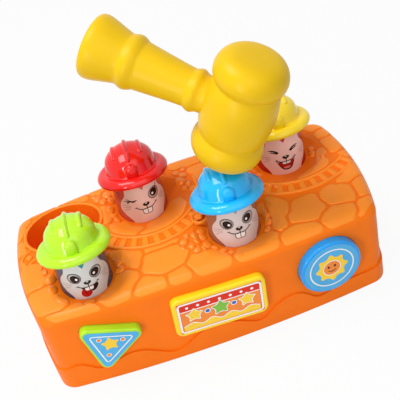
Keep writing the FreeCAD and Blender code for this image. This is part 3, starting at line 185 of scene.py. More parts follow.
def plastic(name: str, colour: Colour, shift: float = 0.94, **extra: float) -> Finish:
    """A moulded plastic whose second tone is a little darker than the first.

    Args:
        name: The finish's name.
        colour: Its linear colour.
        shift: How much darker the second tone is.
        extra: Other fields of the finish.

    Returns:
        The finish.
    """
    tone = (colour[0] * shift, colour[1] * shift, colour[2] * shift)
    return Finish(name=name, colour=colour, tone=tone, **extra)


def orange(name: str, colour: Colour, roughness: float, specular: float) -> Finish:
    """The housing's moulded orange; its stone and pebble copies are made lighter, as painted light on the
    raised tops.
    """
    return plastic(name, colour, 0.96, roughness=roughness, specular=specular, grain_mm=0.5, depth_mm=0.012)


def metal(name: str, colour: Colour, tone: Colour, roughness: float) -> Finish:
    """A bare metal with a drawn grain."""
    return Finish(name, colour, tone, roughness, metallic=1.0, grain=Grain.BRUSHED)


def ink_finish(name: str, colour: Colour, shift: float = 0.94, **extra: float) -> Finish:
    """A printed colour: a nearly flat film with a fine grain."""
    return plastic(name, colour, shift, **{"roughness": 0.4, "grain_mm": 0.25, "depth_mm": 0.004, **extra})


def hat_finish(name: str, colour: Colour, shift: float) -> Finish:
    """The high gloss of a hat."""
    return plastic(name + "_hat", colour, shift, roughness=0.07, spread=0.02, specular=0.4, patch_mm=25.0)


def head_finish(name: str, colour: Colour, shift: float = 0.85) -> Finish:
    """The tinted plastic of a head."""
    return plastic(name + "_head", colour, shift, roughness=0.25, specular=0.25)


def patch_finish(name: str, colour: Colour) -> Finish:
    """The pale print of a face; on the red and yellow faces it is made lighter than the print, as painted
    light against the shade of the hats and the hammer.
    """
    return plastic(name + "_patch", colour, 0.93, roughness=0.3, specular=0.25)


HOUSING_ORANGE = orange("housing_orange", (0.95, 0.19, 0.006), 0.4, 0.12)
# Stones, rails, sleepers and rims: the housing's plastic in a lighter, yellower copy, painted light on the
# raised tops.
STONE_ORANGE_PAINTED_LIGHT = orange("stone_orange_painted_light", (0.98, 0.275, 0.018), 0.36, 0.25)
# Pebbles: the housing's plastic in a lighter copy, painted light on their domed tops.
PEBBLE_ORANGE_PAINTED_LIGHT = orange("pebble_orange_painted_light", (0.97, 0.24, 0.012), 0.28, 0.4)
COVER_ORANGE = plastic("cover_orange", (0.88, 0.18, 0.008), 0.93, roughness=0.5, specular=0.25, grain_mm=0.35,
                       depth_mm=0.02)
BLACK_RUBBER = plastic("black_rubber", (0.02, 0.02, 0.02), 0.7, roughness=0.8, specular=0.3, depth_mm=0.03)
ZINC_STEEL = metal("zinc_steel", (0.62, 0.62, 0.6), (0.5, 0.5, 0.5), 0.32)
SPRING_STEEL = metal("spring_steel", (0.55, 0.55, 0.56), (0.42, 0.42, 0.44), 0.28)
CONTACT_METAL = metal("contact_metal", (0.75, 0.74, 0.7), (0.6, 0.6, 0.56), 0.2)
WHITE_PLASTIC = plastic("white_plastic", (0.8, 0.8, 0.77), 0.94, roughness=0.45)
BLACK_PLASTIC = plastic("black_plastic", (0.02, 0.02, 0.022), 0.8, roughness=0.45)
BOARD_GREEN = plastic("board_green", (0.02, 0.16, 0.06), 0.7, roughness=0.35, grain=Grain.SPECKLED,
                      grain_mm=2.5)
LAMP_CLEAR = plastic("lamp_clear", (0.85, 0.83, 0.74), 0.93, roughness=0.12, coat=0.5)
BATTERY_SLEEVE = plastic("battery_sleeve", (0.03, 0.1, 0.24), 0.8, roughness=0.25, coat=0.4)
SPEAKER_BLACK = plastic("speaker_black", (0.03, 0.03, 0.03), 0.7, roughness=0.5, grain=Grain.SPECKLED,
                        grain_mm=1.2)
HAMMER_YELLOW = plastic("hammer_yellow", (0.78, 0.49, 0.007), 0.95, roughness=0.33, specular=0.15,
                        grain_mm=0.9, depth_mm=0.015, patch_mm=30.0)
PLATE_YELLOW = plastic("plate_yellow", (0.97, 0.68, 0.012), 0.96, roughness=0.2, specular=0.35)
BUTTON_BLUE = plastic("button_blue", (0.01, 0.34, 0.88), 0.93, roughness=0.15, specular=0.35)
BUTTON_LIME = plastic("button_lime", (0.4, 0.75, 0.02), 0.94, roughness=0.2, specular=0.35)
LABEL_BLUE = ink_finish("label_blue", (0.09, 0.44, 0.8), 0.92, specular=0.2, depth_mm=0.005)
LABEL_RED = ink_finish("label_red", (0.75, 0.03, 0.012), 0.9, specular=0.2, depth_mm=0.005)
INK_WHITE = ink_finish("ink_white", (0.88, 0.88, 0.86), 0.96)
INK_DARK = ink_finish("ink_dark", (0.022, 0.008, 0.006), 0.8, roughness=0.35, specular=0.15)
INK_LINE = ink_finish("ink_line", (0.07, 0.04, 0.035), 0.85, specular=0.15)
INK_RED = ink_finish("ink_red", (0.5, 0.012, 0.008), 0.85, roughness=0.35, specular=0.15)
INK_YELLOW = ink_finish("ink_yellow", (0.95, 0.62, 0.02))
INK_ORANGE = ink_finish("ink_orange", (0.9, 0.24, 0.015), 0.93)
INK_GREEN = ink_finish("ink_green", (0.2, 0.5, 0.03))
INK_BLUE = ink_finish("ink_blue", (0.02, 0.13, 0.5), 0.9)
INK_PINK = ink_finish("ink_pink", (0.72, 0.22, 0.22), 0.92)


@dataclass
class MeshDraft:
    """Vertices and faces gathered for one piece, with a material for each face."""

    name: str
    points: list[Vector] = field(default_factory=list)
    faces: list[tuple[int, ...]] = field(default_factory=list)
    slots: list[int] = field(default_factory=list)
    finishes: list[Finish] = field(default_factory=list)

    def slot_of(self, finish: Finish) -> int:
        """Number of the finish among the piece's materials, added when it is new."""
        if finish not in self.finishes:
            self.finishes.append(finish)
        return self.finishes.index(finish)

    def rings(self, rings: Sequence[Sequence[Vector]], finish: Finish, closed: bool = True) -> None:
        """Join neighbouring rings of equal length with quads.

        Args:
            rings: The rings or rows of points.
            finish: The finish of the faces.
            closed: Whether each ring's last point joins its first.
        """
        slot = self.slot_of(finish)
        first = len(self.points)
        count = len(rings[0])
        for ring in rings:
            self.points.extend(ring)
        for row in range(len(rings) - 1):
            for column in range(count if closed else count - 1):
                after = (column + 1) % count
                low = first + row * count
                high = low + count
                self.faces.append((low + column, low + after, high + after, high + column))
                self.slots.append(slot)

    def cap(self, ring: Sequence[Vector], middle: Vector, finish: Finish) -> None:
        """Close a ring with triangles to its middle.

        Args:
            ring: The ring's points, in order.
            middle: The point that they all meet at.
            finish: The finish of the faces.
        """
        slot = self.slot_of(finish)
        first = len(self.points)
        self.points.extend(ring)
        self.points.append(middle)
        count = len(ring)
        for column in range(count):
            self.faces.append((first + column, first + (column + 1) % count, first + count))
            self.slots.append(slot)

    def turned(self, section: Sequence[Point2], finish: Finish, segments: int, place: Matrix,
               start: float = 0.0) -> list[list[Vector]]:
        """Turn a section round an axis.

        Args:
            section: Points as (radius, height).
            finish: The finish of the faces.
            segments: Points in one ring.
            place: Where the turned form stands, its axis along Z.
            start: Angle of each ring's first point, in radians.

        Returns:
            The rings.
        """
        rings = []
        for radius, height in section:
            ring = [polar(ORIGIN, radius, start + 2 * math.pi * k / segments) for k in range(segments)]
            rings.append([place @ Vector((x, y, height)) for x, y in ring])
        self.rings(rings, finish)
        return rings

    def build(self) -> bpy.types.Object:
        """Make the Blender object.

        Returns:
            The new object, linked to the scene.
        """
        mesh = bpy.data.meshes.new(self.name)
        mesh.from_pydata([point * MM for point in self.points], [], self.faces)
        for finish in self.finishes:
            mesh.materials.append(finish.material())
        mesh.polygons.foreach_set("material_index", self.slots)
        mesh.polygons.foreach_set("use_smooth", [True] * len(mesh.polygons))
        piece = bpy.data.objects.new(self.name, mesh)
        bpy.context.scene.collection.objects.link(piece)
        work = bmesh.new()
        work.from_mesh(mesh)
        bmesh.ops.remove_doubles(work, verts=work.verts, dist=WELD_M)
        bmesh.ops.recalc_face_normals(work, faces=work.faces)
        work.to_mesh(mesh)
        work.free()
        mesh.update()
        return piece


def between(here: Point2, there: Point2, share: float) -> Point2:
    """The point that lies a share of the way from here to there."""
    return here[0] + (there[0] - here[0]) * share, here[1] + (there[1] - here[1]) * share


def polar(centre: Point2, radius: float, angle: float) -> Point2:
    """The point at a distance from the centre, in the direction of an angle in radians."""
    return centre[0] + radius * math.cos(angle), centre[1] + radius * math.sin(angle)


def centroid(points: Sequence[Point2]) -> Point2:
    """The mean of the points."""
    return sum(p[0] for p in points) / len(points), sum(p[1] for p in points) / len(points)


def sideways(path: Sequence[Point2], closed: bool) -> list[Point2]:
    """Find the direction to the left of a path at each of its points.

    Args:
        path: Points along the path.
        closed: Whether it ends where it began.

    Returns:
        A direction of length one for each point.
    """
    count = len(path)
    ways = []
    for index in range(count):
        before = path[index - 1] if index > 0 or closed else path[0]
        after = path[(index + 1) % count] if index < count - 1 or closed else path[-1]
        run = (after[0] - before[0], after[1] - before[1])
        length = math.hypot(*run) or 1.0
        ways.append((-run[1] / length, run[0] / length))
    return ways


def smooth_loop(points: Sequence[Point2], rounds: int = 2) -> list[Point2]:
    """Round the corners of a closed outline by cutting them.

    Args:
        points: The outline's corners.
        rounds: How many times each corner is cut.

    Returns:
        The rounded outline.
    """
    loop = list(points)
    for _ in range(rounds):
        cut: list[Point2] = []
        for index, here in enumerate(loop):
            there = loop[(index + 1) % len(loop)]
            cut.append((here[0] * 0.75 + there[0] * 0.25, here[1] * 0.75 + there[1] * 0.25))
            cut.append((here[0] * 0.25 + there[0] * 0.75, here[1] * 0.25 + there[1] * 0.75))
        loop = cut
    return loop


def smooth_path(points: Sequence[Point2], steps: int = 6) -> list[Point2]:
    """Run a smooth curve through the points of an open path.

    Args:
        points: The points that the curve passes.
        steps: Pieces of curve between two of them.

    Returns:
        Points along the curve.
    """
    ends = [points[0], *points, points[-1]]
    path: list[Point2] = []
    for index in range(1, len(ends) - 2):
        before, here, there, after = ends[index - 1:index + 3]
        for step in range(steps):
            t = step / steps
            point = []
            for axis in range(2):
                a, b, c, d = before[axis], here[axis], there[axis], after[axis]
                point.append(0.5 * (2 * b + (c - a) * t + (2 * a - 5 * b + 4 * c - d) * t * t
                                    + (3 * b - a - 3 * c + d) * t ** 3))
            path.append((point[0], point[1]))
    path.append(points[-1])
    return path


def ellipse(centre: Point2, half: Point2, turn_deg: float = 0.0, count: int = 28) -> list[Point2]:
    """Outline of an ellipse.

    Args:
        centre: Its middle.
        half: Its half width and half height.
        turn_deg: How far it is turned.
        count: Number of points.

    Returns:
        The outline.
    """
    c = math.cos(math.radians(turn_deg))
    s = math.sin(math.radians(turn_deg))
    outline = []
    for index in range(count):
        angle = 2 * math.pi * index / count
        x = half[0] * math.cos(angle)
        y = half[1] * math.sin(angle)
        outline.append((centre[0] + x * c - y * s, centre[1] + x * s + y * c))
    return outline


def star(outer: float, inner: float, tips: int, turn_deg: float = 90.0) -> list[Point2]:
    """Outline of a plain star round the origin.

    Args:
        outer: Radius of its tips.
        inner: Radius between the tips.
        tips: Number of tips.
        turn_deg: Direction of the first tip.

    Returns:
        The outline.
    """
    return [polar(ORIGIN, inner if index % 2 else outer, math.radians(turn_deg + 180.0 * index / tips))
            for index in range(2 * tips)]


@dataclass
class Print:
    """Ink laid on a surface: filled shapes and strokes in the surface's own two directions."""

    draft: MeshDraft
    surface: Callable[[float, float, float], Vector]
    layer_mm: float = 0.03
    facet_mm: float = 1.1

    def fill(self, outline: Sequence[Point2], finish: Finish, layer: int, rows: int) -> None:
        """Lay a filled shape.

        Args:
            outline: The shape's outline, seen whole from its middle.
            finish: The ink.
            layer: How many layers it lies above the surface.
            rows: Least number of rings of faces between outline and middle.
        """
        dense: list[Point2] = []
        for index, here in enumerate(outline):
            there = outline[(index + 1) % len(outline)]
            cuts = max(1, math.ceil(math.dist(here, there) / self.facet_mm))
            dense.extend(between(here, there, cut / cuts) for cut in range(cuts))
        middle = centroid(outline)
        rows = max(rows, math.ceil(max(math.dist(middle, spot) for spot in dense) / self.facet_mm))
        lift = layer * self.layer_mm
        rings = []
        for row in range(rows):
            rings.append([self.surface(*between(middle, spot, 1.0 - row / rows), lift) for spot in dense])
        self.draft.rings(rings, finish)
        self.draft.cap(rings[-1], self.surface(*middle, lift), finish)

    def stroke(self, path: Sequence[Point2], widths: Sequence[float], finish: Finish, layer: int,
               closed: bool = False) -> None:
        """Lay a line whose width changes evenly between the given widths.

        Args:
            path: Points along the line.
            widths: Full widths, spread evenly over the line.
            finish: The ink.
            layer: How many layers it lies above the surface.
            closed: Whether the line ends where it began.
        """
        widths = widths if len(widths) > 1 else [widths[0], widths[0]]
        lift = layer * self.layer_mm
        left = []
        right = []
        for index, ((u, v), way) in enumerate(zip(path, sideways(path, closed))):
            spot = index / max(1, len(path) - 1) * (len(widths) - 1)
            low = min(int(spot), len(widths) - 2)
            half = (widths[low] + (widths[low + 1] - widths[low]) * (spot - low)) / 2
            left.append(self.surface(u + way[0] * half, v + way[1] * half, lift))
            right.append(self.surface(u - way[0] * half, v - way[1] * half, lift))
        self.draft.rings([left, right], finish, closed)

    def blob(self, origin: Point2, corners: Sequence[Point2], finish: Finish, layer: int, rows: int = 5,
             rounds: int = 2) -> None:
        """Lay a filled shape with rounded corners, which are measured from the origin."""
        outline = smooth_loop([(origin[0] + u, origin[1] + v) for u, v in corners], rounds)
        self.fill(outline, finish, layer, rows)

    def curve(self, origin: Point2, spots: Sequence[Point2], widths: Sequence[float], finish: Finish,
              layer: int) -> None:
        """Lay a smooth line through spots, which are measured from the origin."""
        self.stroke(smooth_path([(origin[0] + u, origin[1] + v) for u, v in spots]), widths, finish, layer)

    def disc(self, centre: Point2, half: Point2, finish: Finish, layer: int, rows: int = 5,
             count: int = 28) -> None:
        """Lay a filled ellipse of the given half width and half height."""
        self.fill(ellipse(centre, half, 0.0, count), finish, layer, rows)

    def ring(self, centre: Point2, half: Point2, width: float, finish: Finish, layer: int,
             count: int) -> None:
        """Lay an elliptical line of one width."""
        self.stroke(ellipse(centre, half, 0.0, count), [width], finish, layer, True)


@dataclass
class BaseShape:
    """The housing's own form, as the frame has it: plan outline, crowned top and the four dishes."""

    half_length: float = 150.0
    half_depth: float = 75.0
    end_bow: float = 11.3
    side_bow: float = 9.6
    corner: float = 14.5
    crown: float = 86.5
    drop_ends: float = 3.5
    drop_sides: float = 3.5
    roll: float = 8.0
    proud: float = 1.5
    dish_radius: float = 35.0
    dish_depth: float = 9.0
    dish_lip: float = 4.0
    dish_below_crown: float = 1.5
    dish_from_wall: float = 7.5
    dish_shift: Point2 = (2.0, -6.0)
    moles: tuple[tuple[str, float, float], ...] = (
        ("green", -96.1, -30.0), ("red", -32.9, 34.0), ("blue", 30.3, -30.0), ("yellow", 93.5, 34.0))

    def arcs(self) -> Point2:
        """Radii of the bowed long side and the bowed end."""
        side = (self.half_length ** 2 + self.side_bow ** 2) / (2 * self.side_bow)
        end = (self.half_depth ** 2 + self.end_bow ** 2) / (2 * self.end_bow)
        return side, end

    def margin(self, x: float, y: float) -> float:
        """Distance from a point of the plan to the wall's face, positive inside."""
        side, end = self.arcs()
        x = abs(x)
        y = abs(y)
        to_side = side - self.proud - math.hypot(x, y + side - self.half_depth)
        to_end = end - self.proud - math.hypot(x + end - self.half_length, y)
        if to_side < self.corner and to_end < self.corner:
            gap = math.hypot(self.corner - self.proud - to_side, self.corner - self.proud - to_end)
            return self.corner - self.proud - gap
        return min(to_side, to_end)

    def crowned(self, x: float, y: float) -> float:
        """Height of the top surface with its rolled edge, without the dishes."""
        across = self.half_depth ** 2 / (2 * self.drop_sides)
        along = self.half_length ** 2 / (2 * self.drop_ends)
        ridge = self.crown - across + math.sqrt(across ** 2 - y ** 2)
        pivot = self.crown - along
        top = pivot + math.sqrt((ridge - pivot) ** 2 - x ** 2)
        edge = self.margin(x, y)
        if edge < self.roll:
            fall = min(self.roll, self.roll - edge)
            top -= self.roll - math.sqrt(max(0.0, self.roll ** 2 - fall ** 2))
        return top

    def height(self, x: float, y: float) -> float:
        """Height of the top surface, dishes and rolled edge included."""
        top = self.crowned(x, y)
        edge = self.margin(x, y)
        sphere = (self.dish_radius ** 2 + self.dish_depth ** 2) / (2 * self.dish_depth)
        centre = self.crown - self.dish_below_crown - self.dish_depth + sphere
        for _, mole_x, mole_y in self.moles:
            gap = math.hypot(x - mole_x - self.dish_shift[0], y - mole_y - self.dish_shift[1])
            if gap < self.dish_radius + self.dish_lip and edge > self.dish_from_wall:
                top = min(top, centre - math.sqrt(sphere ** 2 - gap ** 2))
        return top

    def wall(self, x: float, z: float, turn_deg: float = 0.0) -> Matrix:
        """Frame on the front wall in millimetres: X along it, Y up, Z straight out of it."""
        radius = self.arcs()[0] - self.proud
        angle = math.asin(x / radius)
        y = radius + self.proud - self.half_depth - radius * math.cos(angle)
        c = math.cos(angle)
        s = math.sin(angle)
        place = Matrix(((c, 0, s, x), (s, 0, -c, y), (0, 1, 0, z), (0, 0, 0, 1)))
        return place @ Matrix.Rotation(math.radians(turn_deg), 4, "Z")


@dataclass
class CobbleTop:
    """Raised stones and pebbles moulded into the top of the housing."""

    shape: BaseShape
    relief: float = 1.1
    swell: float = 1.12
    edge_margin: float = 1.0
    reach: float = 4.5
    joint: float = 1.0
    hole_radius: float = 23.4
    growth_step: float = 0.5
    neighbour_reach: float = 55.0
    stone_edge: tuple[Point2, ...] = (
        (0.0, -0.5), (0.1, 0.2), (0.35, 0.6), (0.75, 0.85), (1.3, 0.97), (2.4, 1.0))
    well: tuple[float, float, float, float] = (-103.0, 32.5, 32.3, 26.5)
    rim: float = 3.0
    wheel: tuple[float, float, float] = (6.5, -13.0, 7.5)
    tracks: tuple[tuple[float, float, float, float, float], ...] = (
        (-31.0, 33.0, 53.0, 212.0, 372.0), (100.0, 50.0, 65.0, 212.0, 322.0))
    gauge: float = 11.5
    rail_half: float = 1.5
    rail_rise: float = 1.75
    rail_from_edge: float = 1.6
    rail_clear: float = 1.3
    track_ends_deg: float = 3.0
    sleeper_rise: float = 0.85
    sleeper_from_rail: float = 0.9
    sleeper_from_edge: float = 3.0
    pebble_clear: float = 0.8
    pebble_rise: float = 0.62
    pebble_long: float = 1.12
    pebble_wide: float = 0.92
    sleeper: float = 5.0
    pitch: float = 9.5
    track_cuts: int = 90
    pad_edge: tuple[Point2, ...] = ((0.98, 0.6), (0.9, 0.92), (0.8, 1.0))
    pad_sink: float = 0.4
    rim_rise: float = 1.7
    tyre: Point2 = (1.3, 1.8)
    hub: Point2 = (1.3, 2.2)
    stub_rail: Point2 = (1.2, 1.5)
    stub_rails: tuple[tuple[Point2, ...], ...] = (
        ((-146, -8), (-142, -2), (-136, 3), (-130, 6.5)),
        ((-144.5, 8), (-141, 13), (-136, 17.5), (-132.5, 19.5)))
    stub_sleepers: tuple[Point2, ...] = ((-142.6, 4.6), (-136.8, 10.6))
    stub_sleeper_rise: float = 1.1
    stones: tuple[tuple[Point2, ...], ...] = (
        ((-147, -7), (-140, -1), (-132, -4), (-128, -11), (-128, -22), (-132, -27), (-143, -27), (-147, -20)),
        ((-144, -31), (-128, -30), (-123, -37), (-118, -46), (-115, -51), (-121, -57), (-136, -56),
         (-141, -46)),
        ((-72, -13), (-61, -19), (-50, -26), (-49, -33), (-53, -40), (-57, -41), (-61, -35), (-65, -28),
         (-72, -23)),
        ((-47, -37), (-40, -34), (-22, -33), (-17, -37), (-13, -44), (-18, -54), (-28, -57), (-41, -56),
         (-49, -50)),
        ((-44, -28.5), (-30, -30.5), (-18, -29.5), (-18, -31.2), (-30, -32), (-42, -31.5)),
        ((-63, -68), (-60, -61), (-52, -57), (-44, -60), (-38, -64), (-38, -69)),
        ((-34, -69), (-33, -63), (-27, -60), (-20, -59), (-16, -68)),
        ((-17, -57), (-10, -51), (2, -51), (9, -55), (15, -61), (14, -68), (-12, -69)),
        ((64, -17), (70, -24), (76, -31), (75, -37), (70, -43), (67, -51), (62, -55), (59, -46),
         (61, -32), (60, -22)),
        ((81, -33), (90, -31.5), (98, -31.5), (102, -37), (103, -44), (98, -50), (93, -54), (86, -54),
         (74, -49), (73, -44), (77, -40)),
        ((109, -31), (117, -28), (126, -29), (130, -34), (131, -41), (127, -47), (117, -46), (108, -42),
         (104, -37)),
        ((135, -30), (140, -27), (145, -26), (145, -38), (141, -44), (135, -46), (134, -38)),
        ((101, -53), (110, -50.5), (119, -51), (125, -53), (124, -60), (118, -67), (101, -66), (97, -60)),
        ((60, -62), (67, -58.5), (80, -57.5), (89, -60), (92, -66), (80, -68), (61, -69)),
        ((129, -54), (134, -51), (141, -49), (139, -58), (133, -64), (125, -65), (129, -60)),
        ((-140, 61), (-132, 64), (-131, 56), (-134, 47), (-138, 38), (-144, 36), (-143, 50)),
        ((-128, 62), (-118, 64.5), (-106, 65), (-106, 68), (-120, 67), (-130, 65)),
        ((-103, 69), (-102, 63.5), (-90, 61.5), (-82, 57), (-77, 62), (-76, 69.5), (-90, 70)),
        ((-73, 69), (-73, 64), (-66, 59), (-60, 62), (-62, 69)),
        ((-57, 69), (-58, 63), (-50, 64), (-40, 67), (-38, 71)),
        ((-33, 71), (-34, 67), (-24, 66), (-12, 63), (-4, 62), (-3, 70), (-18, 71.5)),
        ((1, 70), (0, 62), (8, 60), (18, 57), (27, 58), (30, 64), (30, 70.5)),
        ((17, 53), (15, 44), (16, 36), (24, 33), (31, 36), (33, 45), (28, 54)),
        ((34, 70), (34, 62), (38, 56), (46, 57), (52, 60), (55, 69)),
        ((37, 52), (36, 42), (40, 34), (50, 33), (55, 40), (53, 50), (46, 54)),
        ((59, 68.5), (57, 60), (60, 54), (67, 58), (76, 64), (84, 67)),
        ((88, 67.5), (98, 66), (110, 63), (114, 66), (100, 68)),
        ((118, 64), (126, 58), (131, 51), (136, 53), (132, 61), (125, 65)),
        ((134, 47), (132, 40), (137, 37), (142, 39), (141, 46)),
        ((134, 33), (138, 36), (143, 36), (145, 21), (139, 14), (134, 18), (132, 25)),
        ((138, 9), (146, 14), (147, 6), (143, 2)),
        ((144, -4), (147, -3), (146, -20), (140, -22), (133, -25), (124, -23), (132, -14)),
        ((-69, 42), (-66, 37), (-61, 34), (-60, 26), (-66, 20), (-69, 23), (-68, 32)),
        ((-146, 31), (-139, 33), (-136, 27), (-139, 21), (-146, 20)),
        ((40, 24), (48, 26), (57, 22), (58, 12), (50, 6), (42, 8), (36, 15)),
        ((12, 27), (20, 27), (28, 22), (28, 12), (20, 8), (12, 12)),
        ((62, 10), (66, 4), (63, -2), (56, 1), (55, 6)),
        ((-72, -40), (-66, -40), (-59, -47), (-58, -54), (-62, -60), (-67, -67), (-85, -69), (-91, -62),
         (-80, -52)),
        ((-137, -60), (-122, -60), (-108, -57), (-98, -62), (-91, -69), (-133, -68)),
        ((-58, 18), (-54, 16), (-51, 9), (-44, 3), (-38, 1), (-47, -8), (-55, -5), (-61, 4), (-62, 13)),
        ((-35, 2), (-29, 8), (-18, 12), (-10, 22), (-4, 20), (-2, 10), (-8, -1), (-20, -8), (-34, -11),
         (-44, -9)),
        ((22, -60), (30, -56.5), (44, -54), (53, -50), (58, -57), (56, -67), (24, -69)),
        ((118, 5), (123, 13), (127, 24), (128, 17), (124, 6), (118, -1), (108, -6), (96, -7), (106, -2)),
        ((55, -23), (60, -19), (59, -28), (56, -42), (54, -30)),
    )
    pebbles: tuple[tuple[float, float, float], ...] = (
        (-13, -34, 3.6), (-3, -31, 3.4), (-8.5, -41, 2.9), (-3, -37, 2.6), (-5.5, -47, 3.0), (3.5, -32, 3.3),
        (4, -42.5, 4.0), (0.5, -46.5, 2.4), (9.5, -46, 2.8), (9.5, -37.5, 2.6), (7, -26.5, 3.0),
        (15, -51, 3.2), (19.5, -56.5, 2.8), (-9.5, -28.5, 2.6), (-15.5, -40, 2.2),
        (54.5, -31, 3.2), (56, -37.5, 3.4), (54, -45, 3.0), (57.5, -26, 2.6),
        (-122.5, -23, 4.6), (-121.5, -33, 4.4), (-116.5, -46, 5.0), (-98.5, -58.5, 4.2), (-127, -12.5, 2.8),
        (-70.5, -27.5, 3.3), (-67.5, -35, 3.2), (-74, -34, 2.4), (-73.5, -16, 3.0),
        (-68.5, 52.5, 3.8), (-60, 53.5, 3.9), (-64.5, 47, 3.6), (-57.5, 46.5, 2.9), (-57, 36, 3.4),
        (-55.5, 29, 2.6), (-57.5, 22.5, 3.0), (-60.5, 58, 2.2), (-71, 57.5, 2.4),
        (4, 39.5, 4.2), (8, 46, 3.4), (3, 51.5, 3.0), (9.5, 32.5, 2.8), (5, 29, 2.6), (10, 54, 2.6),
        (118, 24, 3.0), (117.5, 31, 2.6), (124, 12, 2.6), (119, 8, 2.2),
        (70, 19, 2.8), (66.5, 26, 3.2), (68, 33, 2.6), (62, 31, 2.6),
        (65.5, -5.5, 3.0), (72, -2, 2.6), (76, -6.5, 2.3),
    )
    stone_draft: MeshDraft = field(default_factory=lambda: MeshDraft("moulded_stones"))
    pebble_draft: MeshDraft = field(default_factory=lambda: MeshDraft("moulded_pebbles"))
    rail_draft: MeshDraft = field(default_factory=lambda: MeshDraft("moulded_railway"))

    def stone(self, corners: Sequence[Point2]) -> None:
        """Lay one stone: a pad with a rounded edge that follows the surface.

        Args:
            corners: Its corners in plan.
        """
        outline = self.grown(corners)
        middle = centroid(outline)
        rings = []
        for inset, lift in self.stone_edge:
            rings.append([self._spot(spot, middle, inset, lift * self.relief) for spot in outline])
        shoulder = [(spot.x, spot.y) for spot in rings[-1]]
        for share in (0.7, 0.35):
            inner = [between(middle, spot, share) for spot in shoulder]
            rings.append([self._spot(spot, middle, 0.0, self.relief) for spot in inner])
        # The stone's lighter orange is painted light on its top; the plastic is the housing's.
        self.stone_draft.rings(rings, STONE_ORANGE_PAINTED_LIGHT)
        self.stone_draft.cap(rings[-1], self._spot(middle, middle, 0.0, self.relief), STONE_ORANGE_PAINTED_LIGHT)

    def grown(self, corners: Sequence[Point2]) -> list[Point2]:
        """Round a stone's corners and let it grow until only a narrow joint is left round it.

        Args:
            corners: Its corners in plan.

        Returns:
            The outline.
        """
        edges = []
        for index, here in enumerate(corners):
            there = corners[(index + 1) % len(corners)]
            edges.extend(between(here, there, share) for share in (0.0, 0.28, 0.72))
        outline = smooth_loop(edges, 1)
        heart = centroid(outline)
        outline = [self._drawn_in(spot, heart) for spot in outline]
        count = len(outline)
        turn = sum(outline[k - 1][0] * outline[k][1] - outline[k][0] * outline[k - 1][1]
                   for k in range(count))
        side = 1 if turn > 0 else -1
        ways = [(-side * way[0], -side * way[1]) for way in sideways(outline, True)]
        near = [other for other in self.stones if other is not corners and math.dist(other[0], corners[0])
                < self.neighbour_reach + 0.5 * max(math.dist(other[0], corner) for corner in other)]
        shifts = []
        for (u, v), way in zip(outline, ways):
            moved = 0.0
            while moved < self.reach:
                ahead = moved + self.growth_step
                if self._blocked((u + way[0] * ahead, v + way[1] * ahead), ahead, near):
                    break
                moved = ahead
            shifts.append(moved)
        for _ in range(2):
            shifts = [min(shifts[k], (shifts[k - 1] + shifts[k] + shifts[(k + 1) % count]) / 3)
                      for k in range(count)]
        grown = [(u + way[0] * shift, v + way[1] * shift)
                 for (u, v), way, shift in zip(outline, ways, shifts)]
        return smooth_loop(grown, 1)

    def _drawn_in(self, spot: Point2, heart: Point2) -> Point2:
        """A stone's point, moved towards its heart until it lies on the top and off the holes."""
        for step in range(20):
            x, y = between(spot, heart, step / 20)
            if not self._over_hole(x, y) and self.shape.margin(x, y) > self.edge_margin:
                return x, y
        return heart

    def _over_hole(self, x: float, y: float) -> bool:
        """Whether a point of the plan lies in a mole's hole or on its edge."""
        return any(math.hypot(x - mole_x, y - mole_y) <= self.hole_radius
                   for _, mole_x, mole_y in self.shape.moles)

    def _blocked(self, spot: Point2, moved: float, near: Sequence[Sequence[Point2]]) -> bool:
        """Whether a stone that has grown by moved may not reach the spot."""
        x, y = spot
        if self.shape.margin(x, y) < self.edge_margin or self._over_hole(x, y):
            return True
        cup_x, cup_y, half_long, half_wide = self.well
        grow = self.rim + self.joint
        if math.hypot((x - cup_x) / (half_long + grow), (y - cup_y) / (half_wide + grow)) < 1.0:
            return True
        if math.hypot(x - self.wheel[0], y - self.wheel[1]) < self.wheel[2] + self.joint:
            return True
        for centre_x, centre_y, radius, start, end in self.tracks:
            away = math.hypot(x - centre_x, y - centre_y) - radius
            angle = math.degrees(math.atan2(y - centre_y, x - centre_x)) % 360.0
            low = start - self.track_ends_deg
            high = end + self.track_ends_deg
            inside = low < angle < high or low < angle + 360.0 < high
            if inside and abs(away) < self.gauge / 2 + self.rail_clear + self.joint:
                return True
        if any(math.hypot(x - u, y - v) < radius + self.pebble_clear for u, v, radius in self.pebbles):
            return True
        return any(self._gap(spot, other) < moved + self.joint for other in near)

    def _gap(self, spot: Point2, corners: Sequence[Point2]) -> float:
        """Distance from a point to a closed outline."""
        least = math.inf
        for index, here in enumerate(corners):
            there = corners[(index + 1) % len(corners)]
            run = (there[0] - here[0], there[1] - here[1])
            long = run[0] ** 2 + run[1] ** 2
            share = max(0.0, min(1.0, ((spot[0] - here[0]) * run[0] + (spot[1] - here[1]) * run[1]) / long))
            away = (spot[0] - here[0] - run[0] * share, spot[1] - here[1] - run[1] * share)
            least = min(least, math.hypot(*away))
        return least

    def ridge(self, path: Sequence[Point2], half: float, rise: float, closed: bool) -> None:
        """Lay a rounded ridge along a path on the top.

        Args:
            path: Points along it in plan.
            half: Half its width.
            rise: Its height above the crowned top.
            closed: Whether it ends where it began.
        """
        lines: list[list[Vector]] = [[] for _ in range(9)]
        for k, ((u, v), way) in enumerate(zip(path, sideways(path, closed))):
            end = 1.0 if closed else min(1.0, (min(k, len(path) - 1 - k) + 0.2) / 2.5)
            for row, line in enumerate(lines):
                angle = math.pi * (row / (len(lines) - 1) * 1.3 - 0.15)
                across = -math.cos(angle) * half
                x = u + way[0] * across
                y = v + way[1] * across
                line.append(Vector((x, y, self.shape.crowned(x, y) + math.sin(angle) * rise * end)))
        # Rails and rims take the stones' lighter orange: painted light on the raised ridges.
        self.rail_draft.rings(lines, STONE_ORANGE_PAINTED_LIGHT, closed)

